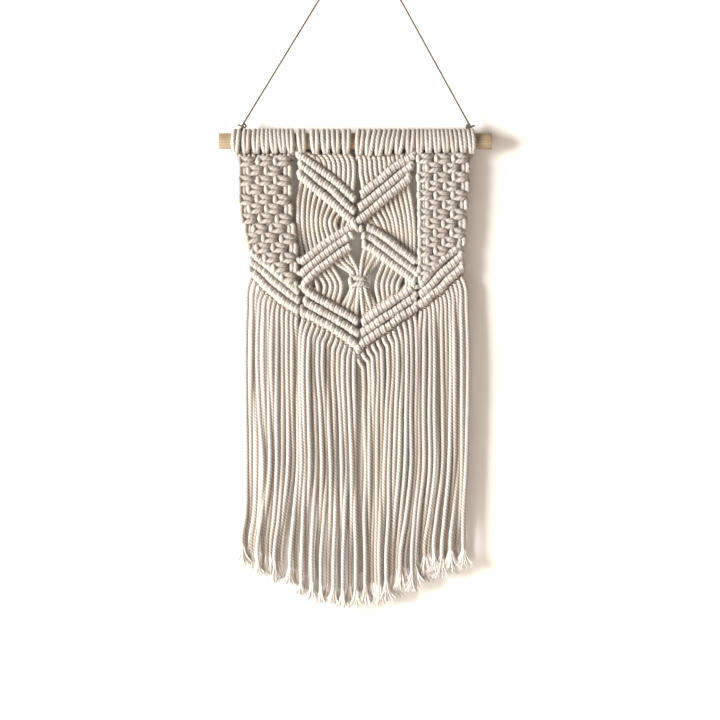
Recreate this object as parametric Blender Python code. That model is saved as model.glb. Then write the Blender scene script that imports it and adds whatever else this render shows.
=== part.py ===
"""Macrame wall hanging: knotted cotton cord on a wooden dowel, with its hanging cord.

Metres, +Z up. The front faces -Y and the wall would lie behind, at +Y. The origin is the point where the
hanging cord bears on its hook. Places on the knotted work are given in millimetres as (across, down):
across is to the right of the dowel's middle and down is below the dowel's axis.
"""

import math
from collections import namedtuple

import bmesh
import bpy
from mathutils import Matrix, Vector
from mathutils.geometry import interpolate_bezier

MM = 0.001
CURVE_STEPS = 5  # from one point of a route to the next

# Dowel
DOWEL_LENGTH = 250.0
DOWEL_RADIUS = 7.5
DOWEL_SIDES = 28
DOWEL_CHAMFER = 0.6
DOWEL_ACROSS = -6.0  # the dowel's middle, from the hook
DOWEL_DROP = 189.0  # the dowel's axis, below the hook

CLEARANCE = 0.3  # between neighbouring solids

# Hanging cord, from its left knot over the hook to its right knot, as (across, down)
HANGER_THICKNESS = 1.8
HANGER_ROUTE = (
    (-102.2, -16.6),
    (-80.0, -52.9),
    (-55.0, -93.8),
    (-30.0, -134.7),
    (-8.0, -170.7),
    (-0.2, -183.4),
    (2.6, -187.7),
    (4.1, -189.2),
    (6.0, -189.9),
    (7.9, -189.3),
    (9.5, -187.6),
    (12.0, -183.3),
    (20.0, -168.8),
    (42.0, -128.9),
    (64.0, -88.9),
    (86.0, -48.9),
    (104.1, -16.0),
)

# Row of lark's head knots along the dowel
SIDE_KNOTS = 6
CENTRE_KNOTS = 12
SIDE_KNOT_PITCH = 8.4
CENTRE_KNOT_PITCH = 9.85
WRAP_RADIUS = 10.6
WRAP_VALLEY_RADIUS = 9.0
HEADING_MIDDLE = -1.2
HEADING_HALF_LENGTH = SIDE_KNOTS * SIDE_KNOT_PITCH + CENTRE_KNOTS * CENTRE_KNOT_PITCH / 2
HEADING_STEPS = 10
GROOVE_RADIUS = 8.8  # where the hanging cord lies between two wraps
GROOVE_HALF_WIDTH = 1.25

# Cord bars
BARS_PER_ARM = 3
LAST_BAR = BARS_PER_ARM - 1
HITCHES_PER_BAR = 11
BAR_DEPTH = 4.2  # half a bar's thickness, front to back
BAR_SEAM_DEPTH = 2.3  # the same between two bars
BAR_EDGE_DEPTH = 1.8
STRAND_SINK = 0.25  # how far a strand runs into the edge bar, as a share of the distance between bars
ABOVE_ARM = STRAND_SINK - 0.5  # where strands join an arm, counted in bars
BELOW_ARM = LAST_BAR + 0.5 - STRAND_SINK
BAR_VALLEY = 0.7  # depth between two hitches, as a share of the full one
BAR_END = 0.6  # depth at a bar's end

# Strands
STRANDS_PER_ARM = 12
STRAND_SIDES = 4
STRAND_WIDTH = 3.0
STRAND_RADIUS = STRAND_WIDTH / 2**0.5  # to its corners
STRAND_TOP = WRAP_RADIUS + CLEARANCE + 0.1
TOP_SPREAD = 1.03  # places at the dowel over places at the bar
LEFT_BOW = -2.6
RIGHT_BOW = 3.4
DIAMOND_BOW = 4.0

# Knotted side panels
KNOT_ROW_PITCH = 8.45
FIRST_KNOT_ROW = 15.9
PANEL_STRANDS = 12
PANEL_KNOT_DEPTH = 4.4
PANEL_SHOULDER_DEPTH = 3.8
PANEL_LINK_DEPTH = 2.6
PANEL_HOLE_DEPTH = 0.7
PANEL_EDGE_DEPTH = 1.6

# Gathering knot in the lower diamond
GATHER_PLACE = (3.5, 128.0)
GATHER_TURNS = (-2.2, 2.2)  # its two turns, above and below its middle
GATHER_PROFILE = ((-1.0, 0.45), (-0.7, 0.8), (0.0, 1.0), (0.7, 0.8), (1.0, 0.45))  # (reach, fullness)
GATHER_HALF_WIDTH = 7.5
GATHER_RADIUS = 3.7
GATHERED_PER_SIDE = 4
GATHERED_PITCH = 1.9
GATHERED_RADIUS = 1.1

# Hitch where the four arms meet: places and radii along it
CENTRE_HITCH = (((-4.0, 80.5), 2.2), ((0.0, 77.6), 3.3), ((6.0, 78.2), 3.3), ((12.5, 81.0), 2.2))
KNOT_LIFT = 0.3  # how far the single knots stand proud of the strands' middle

# Fringe
FRINGE_LEFT = -96.8
FRINGE_RIGHT = 100.4
FRINGE_TIP = 428.0  # lowest cord end, below the dowel's axis
FRINGE_TIP_ACROSS = 0.0
FRINGE_SLOPE = 0.385
FRINGE_SPREAD = 1.03  # width of the ends over the width of the roots
BRUSH_LENGTH = 14.0
BRUSH_FLARE = 1.22

Arm = namedtuple("Arm", "name first_outer first_inner last_outer last_inner")
# A band of three bars: the ends of its first and its last bar. The outer end is the one nearer the sides.
CENTRE_ARMS = (
    Arm("upper_left", (-46.2, 15.1), (-1.1, 53.0), (-51.5, 30.0), (1.6, 76.0)),
    Arm("upper_right", (47.8, 15.6), (5.3, 49.5), (51.0, 32.0), (0.8, 73.4)),
    Arm("lower_left", (-48.5, 107.8), (-2.0, 79.5), (-44.5, 127.2), (-3.8, 95.0)),
    Arm("lower_right", (55.2, 112.4), (10.8, 77.5), (51.5, 126.6), (7.1, 94.0)),
)
BORDER_ARMS = (
    Arm("left_outer", (-97.4, 101.0), (-46.6, 139.5), (-98.6, 119.5), (-45.6, 158.5)),
    Arm("left_inner", (-49.3, 134.5), (4.0, 168.5), (-49.3, 154.0), (4.0, 189.5)),
    Arm("right_inner", (57.0, 134.5), (2.6, 169.5), (59.0, 152.0), (1.4, 190.5)),
    Arm("right_outer", (99.7, 93.5), (54.6, 134.5), (102.5, 114.5), (53.6, 156.0)),
)

Panel = namedtuple("Panel", "name left_top right_top left_low right_low lean_from lean_to arm")
# The side panels: across of their edges at the heading and at the foot, between which they lean.
PANELS = (
    Panel("side_panel_left", -105.6, -58.8, -97.0, -54.2, 45.0, 92.0, BORDER_ARMS[0]),
    Panel("side_panel_right", 58.6, 105.0, 58.0, 102.0, 30.0, 90.0, BORDER_ARMS[3]),
)

# The ends of the hanging cord, tied round the dowel in a groove of the heading
GROOVE_ACROSS = HEADING_HALF_LENGTH - SIDE_KNOT_PITCH / 2
RING_STEPS = 18
RING_RADIUS = (GROOVE_RADIUS + CLEARANCE + HANGER_THICKNESS / 2) / math.cos(math.pi / RING_STEPS)
KNOT_RADIUS = 1.9
KNOT_END_RADIUS = 0.7
KNOT_SHOULDER = 0.9
Hitch = namedtuple("Hitch", "name ring_across knot tail")
HITCHES = (
    Hitch("hanger_hitch_left", HEADING_MIDDLE - GROOVE_ACROSS, (-103.4, -14.6), (-104.6, -20.4)),
    Hitch("hanger_hitch_right", HEADING_MIDDLE + GROOVE_ACROSS, (105.2, -14.0), (109.6, -15.2)),
)

Finish = namedtuple("Finish", "name colour roughness")
COTTON = Finish("natural_cotton", (0.78, 0.71, 0.62), 0.9)
TWINE = Finish("hanging_twine", (0.66, 0.60, 0.53), 0.9)
WOOD = Finish("pale_wood", (0.72, 0.53, 0.35), 0.6)


def place(across, down, forward=0.0):
    """A point of the work, in metres. forward is towards the viewer."""
    return Vector((DOWEL_ACROSS + across, -forward, -DOWEL_DROP - down)) * MM


def mix(a, b, share):
    return tuple(p + (q - p) * share for p, q in zip(a, b))


def smooth_step(value, low, high):
    t = min(1.0, max(0.0, (value - low) / (high - low)))
    return t * t * (3 - 2 * t)


def clear_scene():
    for obj in list(bpy.data.objects):
        bpy.data.objects.remove(obj)


def material(finish):
    made = bpy.data.materials.get(finish.name)
    if made is None:
        made = bpy.data.materials.new(finish.name)
        made.use_nodes = True
        shader = made.node_tree.nodes["Principled BSDF"]
        shader.inputs["Base Color"].default_value = (*finish.colour, 1.0)
        shader.inputs["Roughness"].default_value = finish.roughness
        shader.inputs["Metallic"].default_value = 0.0
    return made


def add_object(name, data, finish):
    obj = bpy.data.objects.new(name, data)
    data.materials.append(material(finish))
    bpy.context.scene.collection.objects.link(obj)
    return obj


def add_mesh(name, bm, finish):
    """A mesh object of the bmesh, its normals facing out."""
    bmesh.ops.recalc_face_normals(bm, faces=bm.faces)
    mesh = bpy.data.meshes.new(name)
    bm.to_mesh(mesh)
    bm.free()
    return add_object(name, mesh, finish)


def shade_round(obj, angle=15):
    obj.data.shade_smooth()
    obj.data.set_sharp_from_angle(angle=math.radians(angle))


def tube_mesh(points, radii, sides):
    """A closed tube through the points, in metres, with its own radius in millimetres at each."""
    bm = bmesh.new()
    rings = []
    for i, (point, radius) in enumerate(zip(points, radii)):
        along = (points[min(i + 1, len(points) - 1)] - points[max(i - 1, 0)]).normalized()
        sideways = Vector((0, 1, 0)).cross(along).normalized()
        frame = Matrix((sideways, along.cross(sideways), along)).transposed().to_4x4()
        turned = Matrix.Rotation(math.pi / sides, 4, "Z")
        made = bmesh.ops.create_circle(
            bm, segments=sides, radius=radius * MM, matrix=Matrix.Translation(point) @ frame @ turned
        )
        rings.append({e for v in made["verts"] for e in v.link_edges})
    for first, second in zip(rings, rings[1:]):
        bmesh.ops.bridge_loops(bm, edges=list(first | second))
    bmesh.ops.holes_fill(bm, edges=list(rings[0] | rings[-1]), sides=0)
    return bm


def fuse(name, pieces, finish):
    """One solid of all the pieces, a list of bmeshes: the first carries a Boolean that adds the others."""
    others = bpy.data.collections.new(f"{name}_pieces")
    bpy.context.scene.collection.children.link(others)
    others.hide_render = True
    body = add_mesh(name, pieces[0], finish)
    for i, bm in enumerate(pieces[1:]):
        piece = add_mesh(f"{name}_piece_{i:03d}", bm, finish)
        bpy.context.scene.collection.objects.unlink(piece)
        others.objects.link(piece)
        piece.hide_render = True
        piece.display_type = "WIRE"
    union = body.modifiers.new("fused", "BOOLEAN")
    union.operation = "UNION"
    union.operand_type = "COLLECTION"
    union.collection = others
    union.solver = "EXACT"
    return body


def make_dowel():
    bm = bmesh.new()
    bmesh.ops.create_cone(
        bm,
        cap_ends=True,
        segments=DOWEL_SIDES,
        radius1=DOWEL_RADIUS * MM,
        radius2=DOWEL_RADIUS * MM,
        depth=DOWEL_LENGTH * MM,
        matrix=Matrix.Rotation(math.pi / 2, 4, "Y"),
    )
    rims = [e for e in bm.edges if abs(e.verts[0].co.x - e.verts[1].co.x) < 1e-6]
    bmesh.ops.bevel(bm, geom=rims, offset=DOWEL_CHAMFER * MM, segments=1, affect="EDGES", profile=0.5)
    dowel = add_mesh("dowel", bm, WOOD)
    dowel.location = place(0, 0)
    shade_round(dowel, 40)


def heading_profile():
    """(across, radius) along the row of lark's heads: a ridge for each wrap and a valley on both sides."""
    side = [SIDE_KNOT_PITCH] * SIDE_KNOTS
    pitches = side + [CENTRE_KNOT_PITCH] * CENTRE_KNOTS + side
    wraps = [pitch / 2 for pitch in pitches for _ in range(2)]
    across = HEADING_MIDDLE - HEADING_HALF_LENGTH
    line = [(across, WRAP_VALLEY_RADIUS)]
    for number, wrap in enumerate(wraps, 1):
        line.append((across + wrap / 2, WRAP_RADIUS))
        across += wrap
        if number in (1, len(wraps) - 1):
            line += [(across + side * GROOVE_HALF_WIDTH, GROOVE_RADIUS) for side in (-1, 1)]
        else:
            line.append((across, WRAP_VALLEY_RADIUS))
    return line


def make_heading():
    """The row of lark's head knots, a ridged sleeve turned about the dowel's axis."""
    outer = heading_profile()
    inner_radius = (DOWEL_RADIUS + CLEARANCE) / math.cos(math.pi / HEADING_STEPS)
    outline = outer + [(outer[-1][0], inner_radius), (outer[0][0], inner_radius)]
    bm = bmesh.new()
    corners = [bm.verts.new((across * MM, 0.0, radius * MM)) for across, radius in outline]
    edges = [bm.edges.new((a, b)) for a, b in zip(corners, corners[1:] + corners[:1])]
    bmesh.ops.spin(
        bm,
        geom=corners + edges,
        cent=(0, 0, 0),
        axis=(1, 0, 0),
        angle=2 * math.pi,
        steps=HEADING_STEPS,
        use_merge=True,
    )
    heading = add_mesh("heading", bm, COTTON)
    heading.location = place(0, 0)
    shade_round(heading, 25)


def bar_ends(arm, number):
    """(outer, inner) ends of a bar of an arm. A bar is counted from 0, and its edges are half a bar away."""
    share = number / LAST_BAR
    return mix(arm.first_outer, arm.last_outer, share), mix(arm.first_inner, arm.last_inner, share)


def half_pitch(arm):
    """Half the distance between neighbouring bars of an arm."""
    outer, inner = (Vector(end) for end in bar_ends(arm, 0))
    along = (inner - outer).normalized()
    step = (Vector(arm.last_outer) + Vector(arm.last_inner) - outer - inner) / 2 / LAST_BAR
    return abs(along.x * step.y - along.y * step.x) / 2


def slab(columns, rows, spot, depth, facets=False):
    """A closed slab from a grid, the same on both faces.

    spot(column, row) gives the place (across, down) of a grid point and depth(column, row) half the
    thickness there. With facets, each knot becomes a pyramid: the diagonals meet at its middle.
    """
    bm = bmesh.new()
    bmesh.ops.create_grid(bm, x_segments=columns, y_segments=rows, size=0.5)
    made = bmesh.ops.extrude_face_region(bm, geom=bm.faces[:])
    back = {v for v in made["geom"] if isinstance(v, bmesh.types.BMVert)}
    if facets:
        groups = ([], [])
        for face in bm.faces:
            middle = face.calc_center_median()
            cell = math.floor((middle.x + 0.5) * columns) + math.floor((0.5 - middle.y) * rows)
            groups[cell % 2].append(face)
        for faces, method in zip(groups, ("ALTERNATE", "FIXED")):
            bmesh.ops.triangulate(bm, faces=faces, quad_method=method)
    for vert in bm.verts:
        column, row = round((vert.co.x + 0.5) * columns), round((0.5 - vert.co.y) * rows)
        side = -1 if vert in back else 1
        vert.co = place(*spot(column, row), side * depth(column, row))
    return bm


def arm_bars(arm):
    """The bars of one arm, side by side, each with a ridge for every hitch on it."""
    columns, rows = 2 * HITCHES_PER_BAR, 2 * BARS_PER_ARM

    def spot(column, row):
        return on_bar(arm, (row - 1) / 2, column / columns)

    def depth(column, row):
        if row in (0, rows):
            return BAR_EDGE_DEPTH
        full = BAR_DEPTH if row % 2 else BAR_SEAM_DEPTH
        if column in (0, columns):
            return full * BAR_END
        return full * (1.0 if column % 2 else BAR_VALLEY)

    return slab(columns, rows, spot, depth)


def on_bar(arm, number, share):
    """(across, down) on a bar's middle line, from its outer end to its inner one."""
    outer, inner = bar_ends(arm, number)
    return mix(outer, inner, share)


def root(arm, number, order):
    """(across, down) where one of an arm's twelve strands crosses one of its bars."""
    return on_bar(arm, number, (order + 0.5) / STRANDS_PER_ARM)


def strand(points, radii=None):
    """A strand through (across, down, forward) points."""
    return tube_mesh([place(*p) for p in points], radii or [STRAND_RADIUS] * len(points), STRAND_SIDES)


def top_strands(arm):
    """The strands that hang from the dowel to an upper arm. The arm's twelfth cord is its bars' core."""
    pieces = []
    for i in range(HITCHES_PER_BAR):
        share = 1 / STRANDS_PER_ARM + (1 - 1 / STRANDS_PER_ARM) * i / (HITCHES_PER_BAR - 1)
        across, down = on_bar(arm, ABOVE_ARM, share)
        pieces.append(strand([(across * TOP_SPREAD, STRAND_TOP, 0.0), (across, down, 0.0)]))
    return pieces


def bowed_strand(top, foot, bow):
    """A strand that bows sideways between its ends."""
    bends = [mix(top, foot, share) for share in (0.3, 0.7)]
    return strand([(*top, 0.0), *((across + bow, down, 0.0) for across, down in bends), (*foot, 0.0)])


def side_strands(upper, lower, bow):
    """The strands from an upper arm to the lower arm on the same side, bowed away from the middle."""
    pieces = []
    for order in range(STRANDS_PER_ARM):
        swell = bow * (0.25 + order / STRANDS_PER_ARM)
        pieces.append(bowed_strand(root(upper, BELOW_ARM, order), root(lower, ABOVE_ARM, order), swell))
    return pieces


def above_border(arm, order):
    """(across, down) where a strand stops short of the border's upper edge."""
    across, down = root(arm, -0.5, order)
    (x1, y1), (x2, y2) = arm.first_outer, arm.first_inner
    slope = abs((y2 - y1) / (x2 - x1))
    return across, down - (CLEARANCE + 0.1) * math.hypot(1, slope) - STRAND_WIDTH / 2 * slope


def diamond_strands(upper, border, side):
    """The strands below a lower arm. The inner ones pass through the gathering knot."""
    pieces = []
    bowed = STRANDS_PER_ARM - GATHERED_PER_SIDE
    for order in range(1, STRANDS_PER_ARM):
        top, foot = root(upper, BELOW_ARM, order), above_border(border, order)
        if order < bowed:
            swell = -side * DIAMOND_BOW * (1.0 - 0.5 * order / STRANDS_PER_ARM)
            pieces.append(bowed_strand(top, foot, swell))
            continue
        crowd = side * (STRANDS_PER_ARM - 0.5 - order) * GATHERED_PITCH
        points = [top, (GATHER_PLACE[0] + crowd, GATHER_PLACE[1]), foot]
        radii = [STRAND_RADIUS, GATHERED_RADIUS, STRAND_RADIUS]
        pieces.append(strand([(*point, 0.0) for point in points], radii))
    return pieces


def gathering_knot():
    """The square knot round the bundle: two fat turns, one above the other."""
    across, down = GATHER_PLACE
    pieces = []
    for rise in GATHER_TURNS:
        points = [
            place(across + reach * GATHER_HALF_WIDTH, down + rise * (1 - 0.3 * abs(reach)), KNOT_LIFT)
            for reach, _ in GATHER_PROFILE
        ]
        pieces.append(tube_mesh(points, [GATHER_RADIUS * fullness for _, fullness in GATHER_PROFILE], 6))
    return pieces


def centre_hitch():
    """The hitch where the four arms meet."""
    points = [place(*spot, KNOT_LIFT) for spot, _ in CENTRE_HITCH]
    return tube_mesh(points, [radius for _, radius in CENTRE_HITCH], 6)


def make_centre_panel():
    """The middle of the work: four arms of three bars, and the strands between them."""
    upper_left, upper_right, lower_left, lower_right = CENTRE_ARMS
    pieces = [arm_bars(arm) for arm in CENTRE_ARMS]
    pieces += top_strands(upper_left) + top_strands(upper_right)
    pieces += side_strands(upper_left, lower_left, LEFT_BOW)
    pieces += side_strands(upper_right, lower_right, RIGHT_BOW)
    pieces += diamond_strands(lower_left, BORDER_ARMS[1], -1)
    pieces += diamond_strands(lower_right, BORDER_ARMS[2], 1)
    pieces += [centre_hitch()] + gathering_knot()
    shade_round(fuse("centre_panel", pieces, COTTON))


def panel_depth(column, row):
    """Half the thickness of a side panel at a point of its grid.

    Columns are the gaps between strands and rows are half a knot row. Knots sit on odd rows: three on one
    row and two on the next, set off by two strands, with a hollow between neighbours.
    """
    if column in (0, PANEL_STRANDS):
        return PANEL_EDGE_DEPTH
    if row % 2 == 0:
        return PANEL_LINK_DEPTH
    middle = 2 if row % 4 == 1 else 0
    away = (column - middle) % 4
    if away == 0:
        return PANEL_KNOT_DEPTH
    return PANEL_HOLE_DEPTH if away == 2 else PANEL_SHOULDER_DEPTH


def make_side_panel(panel):
    """A panel of alternating square knots, its lower edge cut along the border's first bar."""
    outer, inner = (Vector(end) for end in bar_ends(panel.arm, 0))
    half_row = KNOT_ROW_PITCH / 2
    rows = math.ceil((max(outer.y, inner.y) - FIRST_KNOT_ROW) / half_row) + 2

    def spot(column, row):
        down = FIRST_KNOT_ROW + (row - 1) * half_row
        lean = smooth_step(down, panel.lean_from, panel.lean_to)
        left = panel.left_top + (panel.left_low - panel.left_top) * lean
        right = panel.right_top + (panel.right_low - panel.right_top) * lean
        return left + (right - left) * column / PANEL_STRANDS, down

    bm = slab(PANEL_STRANDS, rows, spot, panel_depth, facets=True)
    along = (inner - outer).normalized()
    upward = Vector((along.y, -along.x)) if along.x > 0 else Vector((-along.y, along.x))
    edge = place(*(outer + upward * (half_pitch(panel.arm) + CLEARANCE + 0.1)))
    bmesh.ops.bisect_plane(
        bm,
        geom=bm.verts[:] + bm.edges[:] + bm.faces[:],
        dist=1e-6,
        plane_co=edge,
        plane_no=Vector((-upward.x, 0.0, upward.y)),
        clear_outer=True,
    )
    bmesh.ops.holes_fill(bm, edges=[e for e in bm.edges if e.is_boundary], sides=0)
    shade_round(add_mesh(panel.name, bm, COTTON))


def fringe_root(order, count):
    """(across, down) where a fringe strand leaves the lowest bars, from left to right."""
    across = FRINGE_LEFT + (FRINGE_RIGHT - FRINGE_LEFT) * order / (count - 1)
    lines = [sorted(bar_ends(arm, BELOW_ARM)) for arm in BORDER_ARMS]
    start, end = next(line for line in lines if line[0][0] <= across <= line[1][0])
    return mix(start, end, (across - start[0]) / (end[0] - start[0]))


def sway(order, wave, size):
    """A small sideways drift, the same each time, that neighbours share."""
    return size * (math.sin(order * 0.61 + wave) + 0.5 * math.sin(order * 0.23 + 2.1 * wave))


def fringe_strands():
    """The loose strands below the border, each with a flared brush at its cut end."""
    count = 4 * STRANDS_PER_ARM
    pieces = []
    for order in range(count):
        across, down = fringe_root(order, count)
        foot_across = across * FRINGE_SPREAD
        ragged = 1.8 * math.sin(order * 2.4)
        foot = FRINGE_TIP - FRINGE_SLOPE * abs(across - FRINGE_TIP_ACROSS) + ragged - 1.8
        layer = 0.5 * (1 if order % 2 else -1)
        middle = (across + foot_across) / 2 + sway(order, 1.5, 0.7)
        foot_across += sway(order, 3.0, 0.9)
        points = [
            (across, down, 0.0),
            (middle, (down + foot) / 2, layer),
            (foot_across, foot - BRUSH_LENGTH, layer),
            (foot_across, foot, layer),
        ]
        radii = [STRAND_RADIUS] * 3 + [STRAND_RADIUS * BRUSH_FLARE]
        pieces.append(strand(points, radii))
    return pieces


def make_border_fringe():
    """The border of three bars, and the fringe whose strands are rooted in its lowest bar."""
    pieces = [arm_bars(arm) for arm in BORDER_ARMS]
    shade_round(fuse("border_fringe", pieces + fringe_strands(), COTTON))


def make_hitch(hitch):
    """The hanging cord's turn round the dowel, its knot and the short cut end."""
    thin = HANGER_THICKNESS / 2
    bm = bmesh.new()
    upright = Matrix.Translation((0, 0, RING_RADIUS * MM)) @ Matrix.Rotation(math.pi / 2, 4, "X")
    hexagon = bmesh.ops.create_circle(bm, segments=6, radius=thin * MM, matrix=upright)["verts"]
    bmesh.ops.spin(
        bm,
        geom=hexagon + bm.edges[:],
        cent=(0, 0, 0),
        axis=(1, 0, 0),
        angle=2 * math.pi,
        steps=RING_STEPS,
        use_merge=True,
    )
    bmesh.ops.translate(bm, verts=bm.verts, vec=place(hitch.ring_across, 0))
    knot = place(*hitch.knot)
    rise = [place(hitch.ring_across, -down) for down in (RING_RADIUS, WRAP_RADIUS + 2.0)]
    link = tube_mesh([*rise, knot], [thin] * 3, 6)
    heights = (-KNOT_RADIUS, -KNOT_SHOULDER, KNOT_SHOULDER, KNOT_RADIUS)
    lump_points = [knot + Vector((0, 0, height)) * MM for height in heights]
    lump = tube_mesh(lump_points, [KNOT_END_RADIUS, KNOT_RADIUS, KNOT_RADIUS, KNOT_END_RADIUS], 8)
    tail = tube_mesh([knot, place(*hitch.tail)], [thin, thin * 0.8], 6)
    shade_round(fuse(hitch.name, [bm, lump, link, tail], TWINE), 50)


def smooth_line(route):
    """Points of one smooth curve through the route's own points."""
    lengths = [(b - a).length for a, b in zip(route, route[1:])]
    slopes = [(b - a) / length for a, b, length in zip(route, route[1:], lengths)]
    inner = [
        (s1 * l2 + s2 * l1) / (l1 + l2)
        for s1, s2, l1, l2 in zip(slopes, slopes[1:], lengths, lengths[1:])
    ]
    tangents = [slopes[0], *inner, slopes[-1]]
    line = [route[0]]
    for a, b, leave, arrive, length in zip(route, route[1:], tangents, tangents[1:], lengths):
        handles = (a + leave * length / 3, b - arrive * length / 3)
        line += interpolate_bezier(a, *handles, b, CURVE_STEPS)[1:]
    return line


def make_hanger():
    curve = bpy.data.curves.new("hanger_cord", "CURVE")
    curve.dimensions = "3D"
    curve.bevel_depth = HANGER_THICKNESS / 2 * MM
    curve.bevel_resolution = 2
    curve.use_fill_caps = True
    spline = curve.splines.new("POLY")
    line = smooth_line([place(*spot) for spot in HANGER_ROUTE])
    spline.points.add(len(line) - 1)
    for made, point in zip(spline.points, line):
        made.co = (*point, 1.0)
    add_object("hanger_cord", curve, TWINE)


def main():
    clear_scene()
    make_dowel()
    make_heading()
    make_centre_panel()
    for panel in PANELS:
        make_side_panel(panel)
    make_border_fringe()
    for hitch in HITCHES:
        make_hitch(hitch)
    make_hanger()


main()
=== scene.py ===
"""Looks of the macrame wall hanging: three-ply cotton cord knotted on a wooden dowel, hung by a twine.

Every cord is laid as twisted lengths along the way it really runs. Places on the work are given as
(across, down, forward) in millimetres, from the middle of the dowel: across to the right, down below the
dowel's axis and forward to the viewer. The pattern itself is drawn on a plan whose unit is PLAN_UNIT.
"""

import logging
import math
import random
from dataclasses import dataclass, field
from enum import Enum

import bmesh
import bpy
import numpy as np
from mathutils import Matrix, Vector
from mathutils.geometry import interpolate_bezier


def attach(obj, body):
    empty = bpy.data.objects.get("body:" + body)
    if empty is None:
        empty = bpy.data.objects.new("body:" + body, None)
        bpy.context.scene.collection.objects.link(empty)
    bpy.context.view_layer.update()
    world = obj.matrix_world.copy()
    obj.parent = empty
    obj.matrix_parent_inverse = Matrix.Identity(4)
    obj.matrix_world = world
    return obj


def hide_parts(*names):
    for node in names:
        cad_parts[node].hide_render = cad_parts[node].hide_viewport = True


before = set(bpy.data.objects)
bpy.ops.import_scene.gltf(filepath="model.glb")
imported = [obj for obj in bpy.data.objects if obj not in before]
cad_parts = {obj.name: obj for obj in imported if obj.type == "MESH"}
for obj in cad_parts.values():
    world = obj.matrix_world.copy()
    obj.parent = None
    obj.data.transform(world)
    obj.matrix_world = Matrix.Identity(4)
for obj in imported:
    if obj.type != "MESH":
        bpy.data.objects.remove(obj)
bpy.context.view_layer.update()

log = logging.getLogger("macrame")

MM = 0.001
DOWEL_ACROSS = -6.0  # the dowel's middle, from the hook
DOWEL_DROP = 189.0  # the dowel's axis, below the hook
DOWEL_RADIUS = 7.5
PLAN_UNIT = 0.9164  # millimetres in one unit of the plan
PLAN_ORIGIN = (355.2, 141.2)  # the dowel's middle on the plan
BAND = 12  # cords of a side panel, and of each band of bars

Triple = tuple[float, float, float]
Colour = Triple
Spot = Triple | np.ndarray
PlanPoint = tuple[float, float]
Way = tuple[list[Spot], list[float]]  # the places of a cord, and its fullness at each, 1 for its own thickness
Inputs = dict[str | int, object]


def placed(spots: Spot) -> np.ndarray:
    """One place on the work, or a row of them, in metres from the hook."""
    across, down, forward = np.moveaxis(np.asarray(spots, float), -1, 0)
    return np.stack([DOWEL_ACROSS + across, -forward, -DOWEL_DROP - down], axis=-1) * MM


def plan(x: float, y: float, forward: float = 0.0) -> Spot:
    """A point of the plan as a place on the work, in millimetres."""
    return ((x - PLAN_ORIGIN[0]) * PLAN_UNIT, (y - PLAN_ORIGIN[1]) * PLAN_UNIT, forward)


def on_plan(spot: Spot) -> PlanPoint:
    """A place on the work as a point of the plan."""
    return (spot[0] / PLAN_UNIT + PLAN_ORIGIN[0], spot[1] / PLAN_UNIT + PLAN_ORIGIN[1])


def mix(a: float, b: float, share: float) -> float:
    """A value between two others."""
    return a + (b - a) * share


def shifted(spot: Spot, across: float = 0.0, down: float = 0.0, forward: float = 0.0) -> Spot:
    """A place moved by some millimetres."""
    return (spot[0] + across, spot[1] + down, spot[2] + forward)


def travelled(points: np.ndarray) -> np.ndarray:
    """How far along a line each of its points lies."""
    return np.concatenate([[0], np.cumsum(np.linalg.norm(np.diff(points, axis=0), axis=1))])


def linked(name: str, data: bpy.types.ID) -> bpy.types.Object:
    """Puts a new object in the scene.

    Args:
        name: its name.
        data: what it shows.

    Returns:
        The object.
    """
    made = bpy.data.objects.new(name, data)
    bpy.context.scene.collection.objects.link(made)
    return made


class Side(Enum):
    """Which half of the work a piece lies on."""

    LEFT = -1
    RIGHT = 1


# ---------------------------------------------------------------- finishes


def feed(node: bpy.types.Node, inputs: Inputs) -> None:
    """Feeds the inputs of a node.

    Args:
        node: the node.
        inputs: for each input a plain value, or the output to link to it.
    """
    for socket, value in inputs.items():
        if isinstance(value, bpy.types.NodeSocket):
            node.id_data.links.new(value, node.inputs[socket])
        else:
            node.inputs[socket].default_value = value


def add_node(tree: bpy.types.NodeTree, kind: str, inputs: Inputs | None = None, **settings: object) -> bpy.types.Node:
    """Adds a shader node.

    Args:
        tree: the node tree that takes it.
        kind: the end of its type name, such as "Math".
        inputs: what feeds its inputs.
        settings: its properties by name.

    Returns:
        The new node.
    """
    node = tree.nodes.new(f"ShaderNode{kind}")
    for name, value in settings.items():
        setattr(node, name, value)
    feed(node, inputs or {})
    return node


def maths(tree: bpy.types.NodeTree, operation: str, *values: object) -> bpy.types.NodeSocket:
    """The result of a Math node."""
    return add_node(tree, "Math", dict(enumerate(values)), operation=operation).outputs[0]


def blended(tree: bpy.types.NodeTree, blend: str, *values: bpy.types.NodeSocket) -> bpy.types.NodeSocket:
    """The colour from a Mix node, given its factor and its two colours."""
    inputs = dict(zip(("Factor", "A", "B"), values))
    return add_node(tree, "Mix", inputs, data_type="RGBA", blend_type=blend).outputs["Result"]


def matt(name: str, roughness: float, gloss: float) -> tuple[bpy.types.Material, bpy.types.Node]:
    """Starts a material.

    Args:
        name: its name.
        roughness: its roughness.
        gloss: its specular level.

    Returns:
        The material and its shader.
    """
    made = bpy.data.materials.new(name)
    made.use_nodes = True
    shader = made.node_tree.nodes["Principled BSDF"]
    feed(shader, {"Roughness": roughness, "Specular IOR Level": gloss})
    return made, shader


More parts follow.
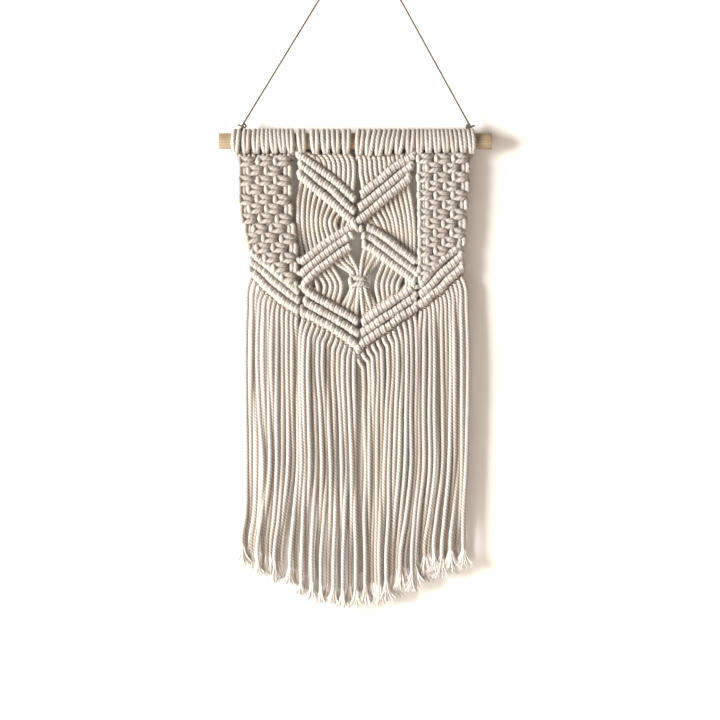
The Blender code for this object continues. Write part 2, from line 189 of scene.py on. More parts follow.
def plies_group(deep_from: float = 0.0026, deep_to: float = 0.0004) -> bpy.types.NodeTree:
    """The colour of twisted cord, with shade painted into the grooves between its plies and far inside the work, and
    its fine height, from its "groove", "fibre" and "tone" attributes.

    Args:
        deep_from: how far from the middle plane the painted warm shade of the inside begins, in metres.
        deep_to: how far from it that painted shade is full.

    Returns:
        A node group with the cord's colour and its fine height.
    """
    tree = bpy.data.node_groups.get("laid_plies")
    if tree:
        return tree
    tree = bpy.data.node_groups.new("laid_plies", "ShaderNodeTree")
    sockets = [(name, "INPUT", "Color") for name in ("Crown", "Groove", "Warm", "Recess")]
    sockets += [("Unevenness", "INPUT", "Float"), ("Color", "OUTPUT", "Color"), ("Height", "OUTPUT", "Float")]
    for name, way, kind in sockets:
        tree.interface.new_socket(name, in_out=way, socket_type=f"NodeSocket{kind}")
    given = tree.nodes.new("NodeGroupInput").outputs
    groove, tone, fibre = (
        add_node(tree, "Attribute", attribute_name=name).outputs["Vector" if name == "fibre" else "Fac"]
        for name in ("groove", "tone", "fibre")
    )
    hairs, patches = (
        add_node(tree, "TexNoise", {"Vector": fibre, "Scale": scale, "Detail": detail}).outputs["Fac"]
        for scale, detail in ((5.0, 3.0), (0.35, 2.0))
    )
    # painted shade: the groove attribute darkens the crown colour towards the groove colour between the plies
    ply = blended(tree, "MIX", maths(tree, "POWER", groove, 0.8), given["Crown"], given["Groove"])
    uneven = maths(tree, "MULTIPLY_ADD", patches, given["Unevenness"], tone)
    cast = blended(tree, "MIX", uneven, ply, given["Warm"])
    # painted warm shade: near the middle plane, far inside the work, the colour is multiplied by a warm tint
    axes = add_node(tree, "SeparateXYZ", {0: add_node(tree, "TexCoord").outputs["Object"]}).outputs
    inputs = {"From Min": deep_from, "From Max": deep_to, "Value": maths(tree, "ABSOLUTE", axes["Y"])}
    shade_mask = add_node(tree, "MapRange", inputs).outputs["Result"]
    colour = blended(tree, "MULTIPLY", shade_mask, cast, given["Recess"])
    height = maths(tree, "MULTIPLY_ADD", groove, -0.5, hairs)
    feed(tree.nodes.new("NodeGroupOutput"), {"Color": colour, "Height": height})
    return tree


@dataclass(frozen=True)
class CordFinish:
    """Matt twisted yarn, with painted shade darkening the grooves between its plies."""

    name: str
    crown: Colour
    # the colour of the painted shade in the grooves between the plies
    groove: Colour
    warm: Colour
    unevenness: float = 0.25
    roughness: float = 0.95
    gloss: float = 0.2
    sheen: float = 0.25
    hair_height: float = 0.00035
    recess: Colour = (1.0, 1.0, 1.0)  # painted warm shade: a tint multiplied in near the middle plane, far inside the work

    def material(self) -> bpy.types.Material:
        """The finish as a material, made once.

        Returns:
            The material.
        """
        made = bpy.data.materials.get(self.name)
        if made:
            return made
        made, shader = matt(self.name, self.roughness, self.gloss)
        tints = {"Crown": self.crown, "Groove": self.groove, "Warm": self.warm, "Recess": self.recess}
        inputs = {socket: (*tint, 1.0) for socket, tint in tints.items()} | {"Unevenness": self.unevenness}
        plies = add_node(made.node_tree, "Group", node_tree=plies_group())
        feed(plies, inputs)
        relief = {"Strength": 0.5, "Distance": self.hair_height, "Height": plies.outputs["Height"]}
        normal = add_node(made.node_tree, "Bump", relief).outputs["Normal"]
        feed(shader, {"Base Color": plies.outputs["Color"], "Normal": normal})
        feed(shader, {"Sheen Weight": self.sheen, "Sheen Roughness": 0.5})
        return made


@dataclass(frozen=True)
class WoodFinish:
    """Bare sanded pale wood with its grain along the dowel."""

    name: str
    pale: Colour
    dark: Colour
    roughness: float = 0.62
    gloss: float = 0.35
    pith: Triple = (0.0, 0.004, 0.186)  # moves the rings' middle to the dowel, in metres
    stretch: Triple = (14.0, 420.0, 420.0)  # grain to a metre, along the dowel and across it
    pore_height: float = 0.0002

    def material(self) -> bpy.types.Material:
        """The finish as a material, with long grain and rings on the sawn ends.

        Returns:
            The material.
        """
        made, shader = matt(self.name, self.roughness, self.gloss)
        tree = made.node_tree
        where = add_node(tree, "TexCoord").outputs["Object"]
        inputs = {"Vector": where, "Location": self.pith, "Scale": self.stretch}
        grain = add_node(tree, "Mapping", inputs).outputs["Vector"]
        wave = {"Vector": grain, "Scale": 0.32, "Distortion": 2.2, "Detail": 2.0}
        rings = add_node(tree, "TexWave", wave, wave_type="RINGS", rings_direction="X").outputs["Fac"]
        pores = add_node(tree, "TexNoise", {"Vector": grain, "Scale": 3.5, "Detail": 4.0}).outputs["Fac"]
        ramp = add_node(tree, "ValToRGB", {"Fac": maths(tree, "MULTIPLY", rings, pores)})
        for stop, share, tint in zip(ramp.color_ramp.elements, (0.08, 0.62), (self.pale, self.dark)):
            stop.position, stop.color = share, (*tint, 1.0)
        relief = {"Strength": 0.25, "Distance": self.pore_height, "Height": pores}
        normal = add_node(tree, "Bump", relief).outputs["Normal"]
        feed(shader, {"Base Color": ramp.outputs["Color"], "Normal": normal})
        return made


# Each finish's groove colour is painted shade in the grooves between its plies.
COTTON = CordFinish(
    # the last tint is painted warm shade far inside the work, near its middle plane
    "natural_cotton", (0.645, 0.625, 0.602), (0.17, 0.118, 0.077), (0.42, 0.383, 0.34), recess=(1.0, 0.94, 0.87)
)
# The frayed ends' near-white colour is partly the loose fibres' own paleness and partly painted light, brightening fans
# that shade one another.
FRAYED = CordFinish("frayed_cotton", (0.93, 0.90, 0.86), (0.60, 0.53, 0.45), (0.82, 0.76, 0.69), sheen=0.5)
TWINE = CordFinish("brown_twine_yarn", (0.16, 0.135, 0.108), (0.06, 0.048, 0.037), (0.12, 0.10, 0.08), 0.4, sheen=0.0)
WOOD = WoodFinish("pale_dowel_wood", (0.345, 0.262, 0.172), (0.25, 0.175, 0.11))


# ---------------------------------------------------------------- cord


def curved(p: np.ndarray, pieces: int) -> np.ndarray:
    """A smooth curve through some places.

    Args:
        p: the places.
        pieces: how many straight pieces lead from one to the next.

    Returns:
        The curve's points.
    """
    length = np.linalg.norm(np.diff(p, axis=0), axis=1)[:, None]
    slope = np.diff(p, axis=0) / length
    inner = (slope[:-1] * length[1:] + slope[1:] * length[:-1]) / (length[:-1] + length[1:])
    tangent = np.vstack([slope[:1], inner, slope[-1:]])
    t = np.linspace(0, 1, pieces + 1)[:-1, None]
    h00, h10 = 2 * t**3 - 3 * t**2 + 1, t**3 - 2 * t**2 + t
    h01, h11 = -2 * t**3 + 3 * t**2, t**3 - t**2
    a, b, reach = p[:-1, None], p[1:, None], length[:, None]
    curve = h00 * a + h10 * reach * tangent[:-1, None] + h01 * b + h11 * reach * tangent[1:, None]
    return np.vstack([curve.reshape(-1, 3), p[-1:]])


def eased(spots: list[Spot], step: float, fullness: list[float]) -> tuple[np.ndarray, np.ndarray]:
    """One smooth line through the places, with points a step apart.

    Args:
        spots: the places that the line goes through, in millimetres.
        step: the distance between its points.
        fullness: the cord's fullness at each place.

    Returns:
        The line's points, and the fullness at each.
    """
    p = np.array(spots, float)
    keep = np.append(True, np.linalg.norm(np.diff(p, axis=0), axis=1) > 1e-6)
    p, full = p[keep], np.array(fullness, float)[keep]
    dense = curved(p, pieces=8)
    along = travelled(dense)
    even = np.linspace(0, along[-1], max(3, round(along[-1] / step)) + 1)
    line = np.stack([np.interp(even, along, dense[:, axis]) for axis in range(3)], axis=1)
    order = np.interp(even, along, np.linspace(0, len(p) - 1, len(dense)))
    return line, np.interp(order, np.arange(len(p)), full)


def tightness(line: np.ndarray, least: float = 0.07, spread: float = 0.12) -> np.ndarray:
    """How far each point of a line lies in a tight bend, where the plies press flat.

    Args:
        line: the line's points, in millimetres.
        least: the bend at which the plies begin to press, in radians a millimetre.
        spread: how much more bend presses them flat.

    Returns:
        0 for a straight run to 1 for the bend of a knot, at each point.
    """
    steps = np.diff(line, axis=0)
    length = np.linalg.norm(steps, axis=1)
    way = steps / np.maximum(length, 1e-6)[:, None]
    bend = np.linalg.norm(np.diff(way, axis=0), axis=1) / length[:-1]
    bend = np.concatenate([bend[:1], bend, bend[-1:]])
    tight = np.clip((bend - least) / spread, 0.0, 1.0)
    tight = np.convolve(np.pad(tight, 2, mode="edge"), np.ones(5) / 5, mode="valid")
    tight[0] = tight[-1] = 0.0
    return tight


@dataclass(frozen=True)
class Lay:
    """How a cord is made up: its plies, twisted round each other."""

    plies: int
    radius: float
    turn: float  # length of one whole twist
    steps_per_turn: int = 7
    groove: float = 0.6  # depth at which two plies meet, as a share of the radius
    shoulder: float = math.radians(29)  # half the angle of a ply's round crown
    shade: float = 1.0  # how dark the painted shade in its grooves is, as a share of the finish's own

    def section(self) -> np.ndarray:
        """The cord's outline across its axis.

        Returns:
            Its points as (radius, angle, how deep in a groove), three for each ply.
        """
        points = []
        for ply in range(self.plies):
            middle = math.tau * ply / self.plies
            points += [(self.radius, middle + side * self.shoulder, 0.0) for side in (-1, 1)]
            points.append((self.radius * self.groove, middle + math.pi / self.plies, 1.0))
        return np.array(points)


COTTON_LAY = Lay(plies=3, radius=2.15, turn=9.2, steps_per_turn=8, groove=0.66, shade=0.7)
KNOTTED_LAY = Lay(plies=3, radius=2.15, turn=9.6, steps_per_turn=8, groove=0.76, shade=1.0)
BRAIDED_LAY = Lay(plies=3, radius=2.15, turn=9.2, steps_per_turn=8, groove=0.76, shade=0.7)
TWINE_LAY = Lay(plies=3, radius=0.9, turn=3.6, steps_per_turn=6)
FIBRE_LAY = Lay(plies=1, radius=0.46, turn=60.0, steps_per_turn=20, groove=1.0, shoulder=math.radians(60))


@dataclass
class Skein:
    """All the lengths of one kind of cord that make up one piece."""

    name: str
    lay: Lay
    finish: CordFinish
    seed: int  # where its own random draws start
    tones: tuple[float, float] = (0.0, 0.35)  # the least and most warm a length's colour may be
    pressed: float = 0.4  # how much paler and warmer the grooves, with their painted shade, are in a tight bend
    flat: float = 0.94  # how far out a groove lies there, as a share of the radius
    fibre_stretch: float = 0.12  # how long the fibres' pattern is drawn along the cord
    fibre_shift: float = 400.0  # how far apart two tones' patterns lie

    def __post_init__(self) -> None:
        """Starts with no lengths."""
        self.draw = random.Random(self.seed)
        self.lengths: list[tuple[np.ndarray, np.ndarray, float]] = []

    def run(self, spots: list[Spot], fullness: list[float] | None = None, tone: float | None = None) -> None:
        """Lays one length of cord through the places.

        Args:
            spots: places on the work, in millimetres.
            fullness: the cord's fullness at each.
            tone: how warm its colour is, from 0 to 1.
        """
        line, thick = eased(spots, self.lay.turn / self.lay.steps_per_turn, fullness or [1.0] * len(spots))
        self.lengths.append((line, thick, self.draw.uniform(*self.tones) if tone is None else tone))

    def make(self) -> bpy.types.Object:
        """Turns the lengths into one mesh that is dressed and rides on the object.

        Returns:
            The piece.
        """
        section = self.lay.section()
        outline = bpy.data.curves.new(f"{self.name}_section", "CURVE")
        outline.dimensions = "2D"
        ring = outline.splines.new("POLY")
        ring.points.add(len(section) - 1)
        for point, (radius, angle, _) in zip(ring.points, section):
            point.co = (radius * math.cos(angle) * MM, radius * math.sin(angle) * MM, 0.0, 1.0)
        ring.use_cyclic_u = True
        curve = bpy.data.curves.new(f"{self.name}_lengths", "CURVE")
        curve.dimensions, curve.twist_mode, curve.use_fill_caps = "3D", "MINIMUM", True
        curve.bevel_mode, curve.bevel_object = "OBJECT", bpy.data.objects.new(outline.name, outline)
        caps, tubes = [], []
        for line, thick, tone in self.lengths:
            rows = self._lay_length(curve, line, thick, tone)
            caps += [rows[0], rows[-1]]
            tubes.append(rows.reshape(-1, rows.shape[-1]))
        mesh = self._mesh_of(curve)
        rows = np.vstack(caps + tubes)
        if len(rows) != len(mesh.vertices):
            raise ValueError(f"{self.name}: {len(mesh.vertices)} vertices where {len(rows)} were laid")
        points = np.empty(len(rows) * 3)
        mesh.vertices.foreach_get("co", points)
        points = points.reshape(-1, 3)
        mesh.vertices.foreach_set("co", (points + (points - rows[:, 6:]) * rows[:, 5:6]).ravel())
        for label, kind, entry, columns in (
            ("groove", "FLOAT", "value", rows[:, 0]),
            ("tone", "FLOAT", "value", rows[:, 1]),
            ("fibre", "FLOAT_VECTOR", "vector", rows[:, 2:5]),
        ):
            layer = mesh.attributes.new(label, kind, "POINT")
            layer.data.foreach_set(entry, columns.astype(np.float32).ravel())
        self._close(mesh)
        bpy.data.curves.remove(outline)
        return dressed(self.name, mesh, self.finish.material())

    def _lay_length(self, curve: bpy.types.Curve, line: np.ndarray, thick: np.ndarray, tone: float) -> np.ndarray:
        """Adds one length to the curve.

        Args:
            curve: the curve that takes it.
            line: its points, in millimetres.
            thick: its fullness at each.
            tone: how warm its colour is.

        Returns:
            For each point of the line and of the section: the groove, the tone, the three values of the fibre,
            how far the point is pressed out, and the cord's middle in metres.
        """
        middle = placed(line)
        along = travelled(line)
        twist = self.draw.uniform(0, math.tau) - along * math.tau / self.lay.turn
        spline = curve.splines.new("POLY")
        spline.points.add(len(line) - 1)
        for label, values in (("co", np.insert(middle, 3, 1.0, axis=1).ravel()), ("radius", thick), ("tilt", twist)):
            spline.points.foreach_set(label, values)
        _, around, depth = self.lay.section().T
        tight = tightness(line)[:, None]
        angle = around + twist[:, None]
        columns = (
            depth * self.lay.shade * (1 - self.pressed * tight),
            tone + self.pressed * tight,
            self.lay.radius * np.cos(angle),
            self.lay.radius * np.sin(angle),
            along[:, None] * self.fibre_stretch + tone * self.fibre_shift,
            depth * tight * (self.flat / self.lay.groove - 1),
            *middle.T[:, :, None],
        )
        return np.stack(np.broadcast_arrays(*columns), axis=-1)

    @staticmethod
    def _mesh_of(curve: bpy.types.Curve) -> bpy.types.Mesh:
        """Takes the mesh from a curve and removes the curve.

        Args:
            curve: the curve.

        Returns:
            Its mesh.
        """
        holder = linked(curve.name, curve)
        graph = bpy.context.evaluated_depsgraph_get()
        mesh = bpy.data.meshes.new_from_object(holder.evaluated_get(graph), depsgraph=graph)
        bpy.data.objects.remove(holder)
        bpy.data.curves.remove(curve)
        return mesh

    @staticmethod
    def _close(mesh: bpy.types.Mesh) -> None:
        """Joins the cut ends to their cord and shades each ply round, with a crisp groove beside it.

        Args:
            mesh: the cords' mesh.
        """
        bm = bmesh.new()
        bm.from_mesh(mesh)
        bmesh.ops.remove_doubles(bm, verts=bm.verts, dist=1e-7)
        bm.to_mesh(mesh)
        bm.free()
        mesh.shade_smooth()
        groove = np.empty(len(mesh.vertices), np.float32)
        mesh.attributes["groove"].data.foreach_get("value", groove)
        ends = np.empty(len(mesh.edges) * 2, np.int32)
        mesh.edges.foreach_get("vertices", ends)
        sharp = (groove[ends.reshape(-1, 2)] > 0.2).all(axis=1)
        layer = mesh.attributes.get("sharp_edge") or mesh.attributes.new("sharp_edge", "BOOLEAN", "EDGE")
        layer.data.foreach_set("value", sharp)


def dressed(name: str, mesh: bpy.types.Mesh, material: bpy.types.Material) -> bpy.types.Object:
    """A mesh as a piece that rides on the object, in one material.

    Args:
        name: the piece's name.
        mesh: its mesh, already in place.
        material: its material.

    Returns:
        The piece.
    """
    mesh.materials.clear()
    mesh.materials.append(material)
    piece = linked(name, mesh)
    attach(piece, "root")
    log.info("%s: %d faces", name, len(mesh.polygons))
    return piece


# ---------------------------------------------------------------- lark's heads


@dataclass
class Heading:
    """The row of lark's head knots that hangs every cord from the dowel."""

    # fmt: off
    wraps: tuple[float, ...] = (
        234, 238.8, 244.6, 248.8, 254.4, 258.8, 263, 267.5, 271.7, 276, 279.9, 284, 288, 292.4, 299.4, 304.2, 312.5,
        317.5, 323, 328.3, 333.3, 338.3, 344, 348.8, 357.5, 362.5, 367.5, 373, 377.7, 383, 387.7, 392.5, 397, 402.5,
        407.5, 412.8, 417.6, 421.7, 426, 430.2, 434.4, 438.6, 442.8, 447, 451.2, 455.6, 460, 464.4, 468.8, 473,
    )
    leaning: tuple[PlanPoint, ...] = (  # how far the foot of a wrap lies to the right of its top, along the row
        (234, -1.5), (262, 0.0), (276, 2.5), (290, 1.5), (312, 1.0), (340, 0.5), (357, -1.5),
        (372, -4.0), (388, -4.5), (402, -3.0), (415, -0.5), (435, 1.5), (455, 2.5), (473, 2.0),
    )
    # fmt: on
    droop: Triple = (2.4, 372, 26)  # how far the row sags, where on the plan and how wide
    leg_reach: float = 17.5  # how far below the axis the legs end
    fullness: float = 1.1
    draw: random.Random = field(default_factory=lambda: random.Random(11))

    def legs(self) -> list[float]:
        """Where the legs hang, across in millimetres, left to right."""
        return [plan(x, 0)[0] for x in self.wraps]

    def knot(self, skein: Skein, left: float, right: float, feet: list[Spot]) -> None:
        """Lays one lark's head: up behind the dowel, over it, down its front and along the bar behind.

        Args:
            skein: the piece that takes it.
            left: where its left wrap lies.
            right: where its right wrap lies.
            feet: the lower ends of its left and right legs.
        """
        near = DOWEL_RADIUS + skein.lay.radius * 0.92
        middle, half = (left + right) / 2, (right - left) / 2
        plan_x, _ = on_plan((middle, 0, 0))
        lean = float(np.interp(plan_x, *zip(*self.leaning))) * PLAN_UNIT / 2
        sag, lowest, width = self.droop
        droop = sag * math.exp(-(((plan_x - lowest) / width) ** 2))
        halves: list[list[Spot]] = []
        for side, foot in zip((-1, 1), feet):
            inner, wrap, outer = (middle + side * out for out in (max(half * 0.62, 1.5), half, half * 0.5))
            low = self.draw.uniform(-0.4, 0.5) + droop
            halves.append(
                [
                    foot,
                    (mix(inner, foot[0], 0.3), 12.8, -3.2),
                    (inner, 7.5, -near + 0.8),
                    (inner, 1.0, -near),
                    (mix(inner, wrap, 0.3) - lean, -6.0, -near * 0.72),
                    (mix(inner, wrap, 0.7) - lean, -near, -0.4),
                    (wrap - lean * 0.8, -6.4, near * 0.72),
                    (wrap, -0.5, near),
                    (mix(wrap, outer, 0.35) + lean * 0.6, 5.4 + low * 0.6, near * 0.82),
                    (outer + lean, near - 0.4 + low, 3.2),
                    (outer + lean, near - 0.2 + low * 0.6, -3.6),
                    (mix(outer, middle, 0.45), 8.6, -near + 1.6),
                ]
            )
        full = [1.0] * 4 + [self.fullness] * 6 + [1.0] * 2
        skein.run(halves[0] + halves[1][::-1], full + full[::-1])

    def make(self, feet: list[Spot]) -> bpy.types.Object:
        """Builds the row.

        Args:
            feet: the lower end of every leg, left to right.

        Returns:
            The piece.
        """
        skein = Skein("lark_head_knots", BRAIDED_LAY, COTTON, 1, (0.3, 0.7))
        across = self.legs()
        for i in range(0, len(across), 2):
            self.knot(skein, across[i], across[i + 1], feet[i : i + 2])
        piece = skein.make()
        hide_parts("heading")
        return piece


# ---------------------------------------------------------------- bars


class Bar:
    """One cord bar: a core along the plan's line, and a row of hitches tied on it."""

    def __init__(self, line: tuple[PlanPoint, ...], travel: int) -> None:
        """Keeps the line.

        Args:
            line: its middle line on the plan, from left to right.
            travel: 1 where its hitches are tied from left to right, -1 from right to left.
        """
        self.points, _ = eased([plan(x, y) for x, y in line], 1.0, [1.0] * len(line))
        self.along, self.travel = travelled(self.points), travel
        self.length = float(self.along[-1])

    def at(self, share: float) -> np.ndarray:
        """The place at a share of its length from the left."""
        return np.array([np.interp(share * self.length, self.along, self.points[:, i]) for i in range(3)])

    def frame(self, share: float) -> tuple[np.ndarray, np.ndarray, np.ndarray]:
        """The place at a share of its length, and the directions along it and down across it.

        Args:
            share: how far along, from the left.

        Returns:
            The place, the unit vector along it to the right, and the one square to it, downwards.
        """
        ahead, behind = self.at(min(1.0, share + 0.03)), self.at(max(0.0, share - 0.03))
        along = (ahead - behind) / np.linalg.norm(ahead - behind)
        return self.at(share), along, np.array([-along[1], along[0], 0.0])


@dataclass
class Hitching:
    """How the double half hitches of a bar are tied, two loops to a cord."""

    across: float = 2.25  # half the width of a loop, square to the bar
    front: float = 2.9
    back: float = 2.4
    upright: float = 0.45  # how far a loop leans from square to the bar towards the plumb line
    fullness: float = 0.9
    core_fullness: float = 0.6
    loops: tuple[float, float] = (-0.2, 0.22)  # where they lie, in pitches from the cord's place
    swells: tuple[float, float] = (1.03, 0.97)  # how full the first and second loop are
    unevenness: float = 0.04  # how much one hitch swells beside another
    angles: tuple[int, ...] = (-38, 0, 45, 90, 135, 180, 218)  # round the core, from below over the front

    def plumb(self, bar: Bar, share: float, clear: float) -> Spot:
        """Where a cord meets a bar's edge, straight above or below its place on the bar.

        Args:
            bar: the bar.
            share: the place on it, from the left.
            clear: how far beyond the edge; negative for above the bar.

        Returns:
            The place, a little behind the middle plane.
        """
        middle, along, _ = bar.frame(share)
        edge = (self.across + COTTON_LAY.radius * self.fullness) / along[0]
        return shifted(middle, down=math.copysign(edge + abs(clear), clear), forward=-0.5)

    def tie(self, bar: Bar, share: float, pitch: float, wobble: float) -> Way:
        """One hitch: behind the core, twice up over its front, and behind it again.

        Args:
            bar: the bar.
            share: where on the bar it sits, from the left.
            pitch: the distance to its neighbour.
            wobble: a small number that makes it its own.

        Returns:
            The way of the working cord.
        """
        middle, along, square = bar.frame(share)
        slope = along[1] / along[0] * self.upright
        spots, fullness = [], []
        for loop, swell in zip(self.loops, self.swells):
            ahead = loop * pitch * bar.travel
            swell += self.unevenness * wobble
            for degrees in self.angles:
                angle = math.radians(degrees)
                out = self.across * math.cos(angle)
                forward = math.sin(angle) * (self.front * swell if degrees in range(181) else self.back)
                spots.append(shifted(middle + along * (ahead + out * slope) + square * out, forward=forward))
                fullness.append(self.fullness * swell)
        return spots, fullness


@dataclass
class BarArm:
    """A band of three bars that the same cords are hitched on, one bar after the other."""

    lines: tuple[tuple[PlanPoint, ...], ...]
    outer: Side  # the side of its outer end
    travel: int
    hitching: Hitching = field(default_factory=Hitching)
    cords: int = BAND
    clear: tuple[float, float] = (-1.6, 2.2)  # where cords bend, beyond the upper and the lower edge
    tucked: float = -3.4  # how far back they lie between two bars
    bulge: float = 0.8  # how far a core swings out before it turns into its bar

    def __post_init__(self) -> None:
        """Makes the bars from the plan's lines."""
        self.bars = [Bar(line, self.travel) for line in self.lines]

    def share(self, order: int) -> float:
        """Where a cord crosses a bar, from the left. Cords are counted from the outer end."""
        inward = (order + 0.5) / self.cords
        return inward if self.outer is Side.LEFT else 1 - inward

    def above(self, order: int) -> Spot:
        """Where a cord comes to the first bar."""
        return self.hitching.plumb(self.bars[0], self.share(order), self.clear[0])

    def below(self, order: int) -> Spot:
        """Where a cord drops from the last bar."""
        return self.hitching.plumb(self.bars[-1], self.share(order), self.clear[1])

    def through(self, order: int, draw: random.Random) -> Way:
        """The way of one cord through the three bars, from behind the first's edge to behind the last's.

        Args:
            order: the cord, counted from the outer end.
            draw: the random draws of the piece.

        Returns:
            The way of the cord.
        """
        share = self.share(order)
        spots, fullness = [shifted(self.above(order), down=3.0, forward=-2.6)], [0.9]
        for number, bar in enumerate(self.bars):
            if number:
                between = (self.bars[number - 1].at(share) + bar.at(share)) / 2
                spots.append(shifted(between, forward=self.tucked))
                fullness.append(0.8)
            more, full = self.hitching.tie(bar, share, bar.length / self.cords, draw.uniform(-1, 1))
            spots += more
            fullness += full
        return [*spots, shifted(self.below(order), down=-3.6, forward=-1.7)], [*fullness, 0.9]

    def cores(self, skein: Skein, entry: Spot | None = None) -> None:
        """Lays the cores, each bending into its bar from above at the outer end.

        Args:
            skein: the piece that takes them.
            entry: where the first bar's core comes from.
        """
        side = self.outer.value
        for number, bar in enumerate(self.bars):
            shares = np.linspace(0, 1, 9)[::-side]
            line = [bar.at(share) for share in shares]
            end, along, square = bar.frame(shares[0])
            bend = end + along * side * self.bulge - square * 1.2 + np.array([0, 0, 1.6])
            if number == 0 and entry is not None:
                lead = [entry, bend - np.array([0, 5.0, 0.6])]
            else:
                above = end - square * 6.0 + along * side * 0.6 + np.array([0, 0, -2.0])
                lead = [above, bend - square * 2.2 - np.array([0, 0, 0.8])]
            full = [1.0, 1.15, 1.25, 1.1] + [self.hitching.core_fullness] * (len(line) - 1)
            skein.run([*lead, bend, *line], full)


BEADED = Hitching(loops=(-0.19, 0.2), unevenness=0.09)
SLENDER = Hitching(across=1.95)
# fmt: off
UPPER_LEFT = BarArm((
    ((297, 153), (308, 161), (320, 169.5), (335, 181), (350, 195), (355, 199.5)),
    ((300, 164.5), (310, 172), (320, 181), (330, 188), (340, 198), (350, 208), (355, 212)),
    ((299, 174.5), (305, 179.2), (312, 185.6), (320, 192.2), (330, 200.4), (340, 209.5), (350, 218.5), (356, 223.5)),
), Side.LEFT, 1)
UPPER_RIGHT = BarArm((
    ((361, 195), (370, 187.5), (380, 180), (390, 171), (400, 163.5), (410, 158), (414, 155)),
    ((359, 208), (365.5, 203.3), (372.6, 197.6), (379, 192.3), (385.6, 187), (395.6, 178.5), (405.5, 170.4),
     (412, 165.5)),
    ((357, 222.5), (361, 219), (366.9, 214.3), (376, 206.3), (386, 197.7), (397.4, 188.3), (404, 182.6),
     (409.5, 177.5)),
), Side.RIGHT, -1)
LOWER_LEFT = BarArm((
    ((301, 262), (307, 258), (318, 249), (325.3, 243.5), (332.7, 238.3), (343.7, 231.5), (354, 226)),
    ((301, 274), (304, 271.5), (318, 259.5), (325.3, 253.5), (334, 246.8), (343.7, 240.2), (351, 236)),
    ((303, 287), (304.5, 284), (310.7, 276.5), (318, 269.5), (325.3, 264.3), (334, 257.5), (343, 251), (350.5, 246.5)),
), Side.LEFT, -1, SLENDER)
LOWER_RIGHT = BarArm((
    ((367, 227.5), (376, 231.5), (386.6, 238.7), (402, 251), (410, 257), (415.5, 262)),
    ((363.5, 235), (370.5, 237.5), (380, 244.6), (391, 252.8), (402, 261.6), (413, 269.8), (417, 273.5)),
    ((362.5, 243.5), (369, 246.5), (380, 254.5), (391, 263), (402, 271), (409, 276.5), (413.5, 282), (414, 286)),
), Side.RIGHT, 1)
BORDER_LEFT = BarArm((
    ((251, 253), (260, 260), (268, 266), (275, 272), (284, 280), (292, 286), (299, 293)),
    ((250, 261), (258, 267), (265, 273), (273, 281), (282, 288), (292, 296), (300, 301)),
    ((249, 270), (258, 277), (265, 285), (272, 291), (280, 298), (290, 305), (299, 310.5)),
), Side.LEFT, 1, BEADED)
BORDER_CENTRE_LEFT = BarArm((
    ((303, 287), (310, 293), (320, 299.5), (330, 305), (340, 311), (350, 316.5), (358, 322)),
    ((305, 302), (315, 307.5), (325, 313), (335, 319), (345, 325), (355, 331.5), (359, 334)),
    ((301, 311.5), (310, 315), (320, 321), (330, 326), (340, 333), (350, 340), (357, 345)),
), Side.LEFT, 1, BEADED)
BORDER_CENTRE_RIGHT = BarArm((
    ((362, 323), (366, 320), (375, 313), (385, 306), (395, 299.5), (405, 293), (412, 288)),
    ((361, 333), (366, 330), (375, 324), (385, 317), (395, 311), (405, 303.5), (416, 296)),
    ((356, 351), (360, 346), (370, 338), (380, 331), (390, 325), (400, 317), (410, 311), (417, 306)),
), Side.RIGHT, -1, BEADED)
BORDER_RIGHT = BarArm((
    ((420, 285), (425, 279), (430, 272), (437, 265), (445, 257), (452, 252), (460, 245)),
    ((420, 295), (427, 289), (433, 283), (440, 275), (447, 269), (455, 262), (462, 255)),
    ((419, 304.5), (425, 301), (432, 294), (440, 289), (447, 281), (455, 274), (463, 266)),
), Side.RIGHT, -1)
# fmt: on


# ---------------------------------------------------------------- side panels


def square_knot(middle: Spot, wide: float, tall: float, tip: float, tilt: float = 0.0) -> list[Way]:
    """The ways of the four cords of one square knot.

    The left cord crosses the front twice, as the knot's two humps. The right one passes behind and comes
    out on the left as an upright lump. The two between run straight through.

    Args:
        middle: the knot's middle on the work.
        wide: its width over a common knot's.
        tall: half its height.
        tip: a small number that makes it its own.
        tilt: how far it is turned in its own plane, in radians.

    Returns:
        The way of each cord from top to bottom, from the left cord to the right.
    """
    over = [
        (-6.3, tall + 0.5, -0.4), (-6.2, tall - 0.6, 0.6), (-5.0, 2.6, 2.6), (-2.4, 2.35 + tip, 3.5),
        (0.6, 2.3 + tip, 3.6), (2.9, 1.9 + tip, 2.8), (4.1, 0.9, 0.5), (4.1, -0.9, 0.3), (2.9, -2.1 + tip, 2.7),
        (0.6, -2.4 + tip, 3.5), (-2.4, -2.5, 3.4), (-5.0, -2.7, 2.5), (-6.2, 0.6 - tall, 0.6),
        (-6.3, -tall - 0.5, -0.4),
    ]  # fmt: skip
    half = [
        (5.9, tall + 0.5, 0.8), (5.8, 2.4, -0.6), (4.2, 1.5, -2.6),
        (-3.0, 1.9, -3.4), (-6.2, 2.7, 0.8), (-6.9, 1.8, 3.8),
    ]  # fmt: skip
    behind = [*half, (-7.0, 0.0, 4.9), *((x, -up, forward) for x, up, forward in half[::-1])]
    inner = [
        [(x, tall + 0.5, 0.0), (x * 0.8, 2.0, 0.2), (x * 0.8, -2.0, 0.2), (x, -tall - 0.5, 0.0)]
        for x in (-1.9, 1.9)
    ]
    fat = [0.95, 1.05] + [1.25] * 10 + [1.05, 0.95]
    swell = [1.0, 0.95, 0.9, 0.9, 1.0, 1.12]
    swell += [1.18, *swell[::-1]]
    return [
        ([shifted(middle, x * wide + up * tilt, x * wide * tilt - up, forward) for x, up, forward in way], full)
        for way, full in zip((over, *inner, behind), (fat, [0.9] * 4, [0.9] * 4, swell))
    ]


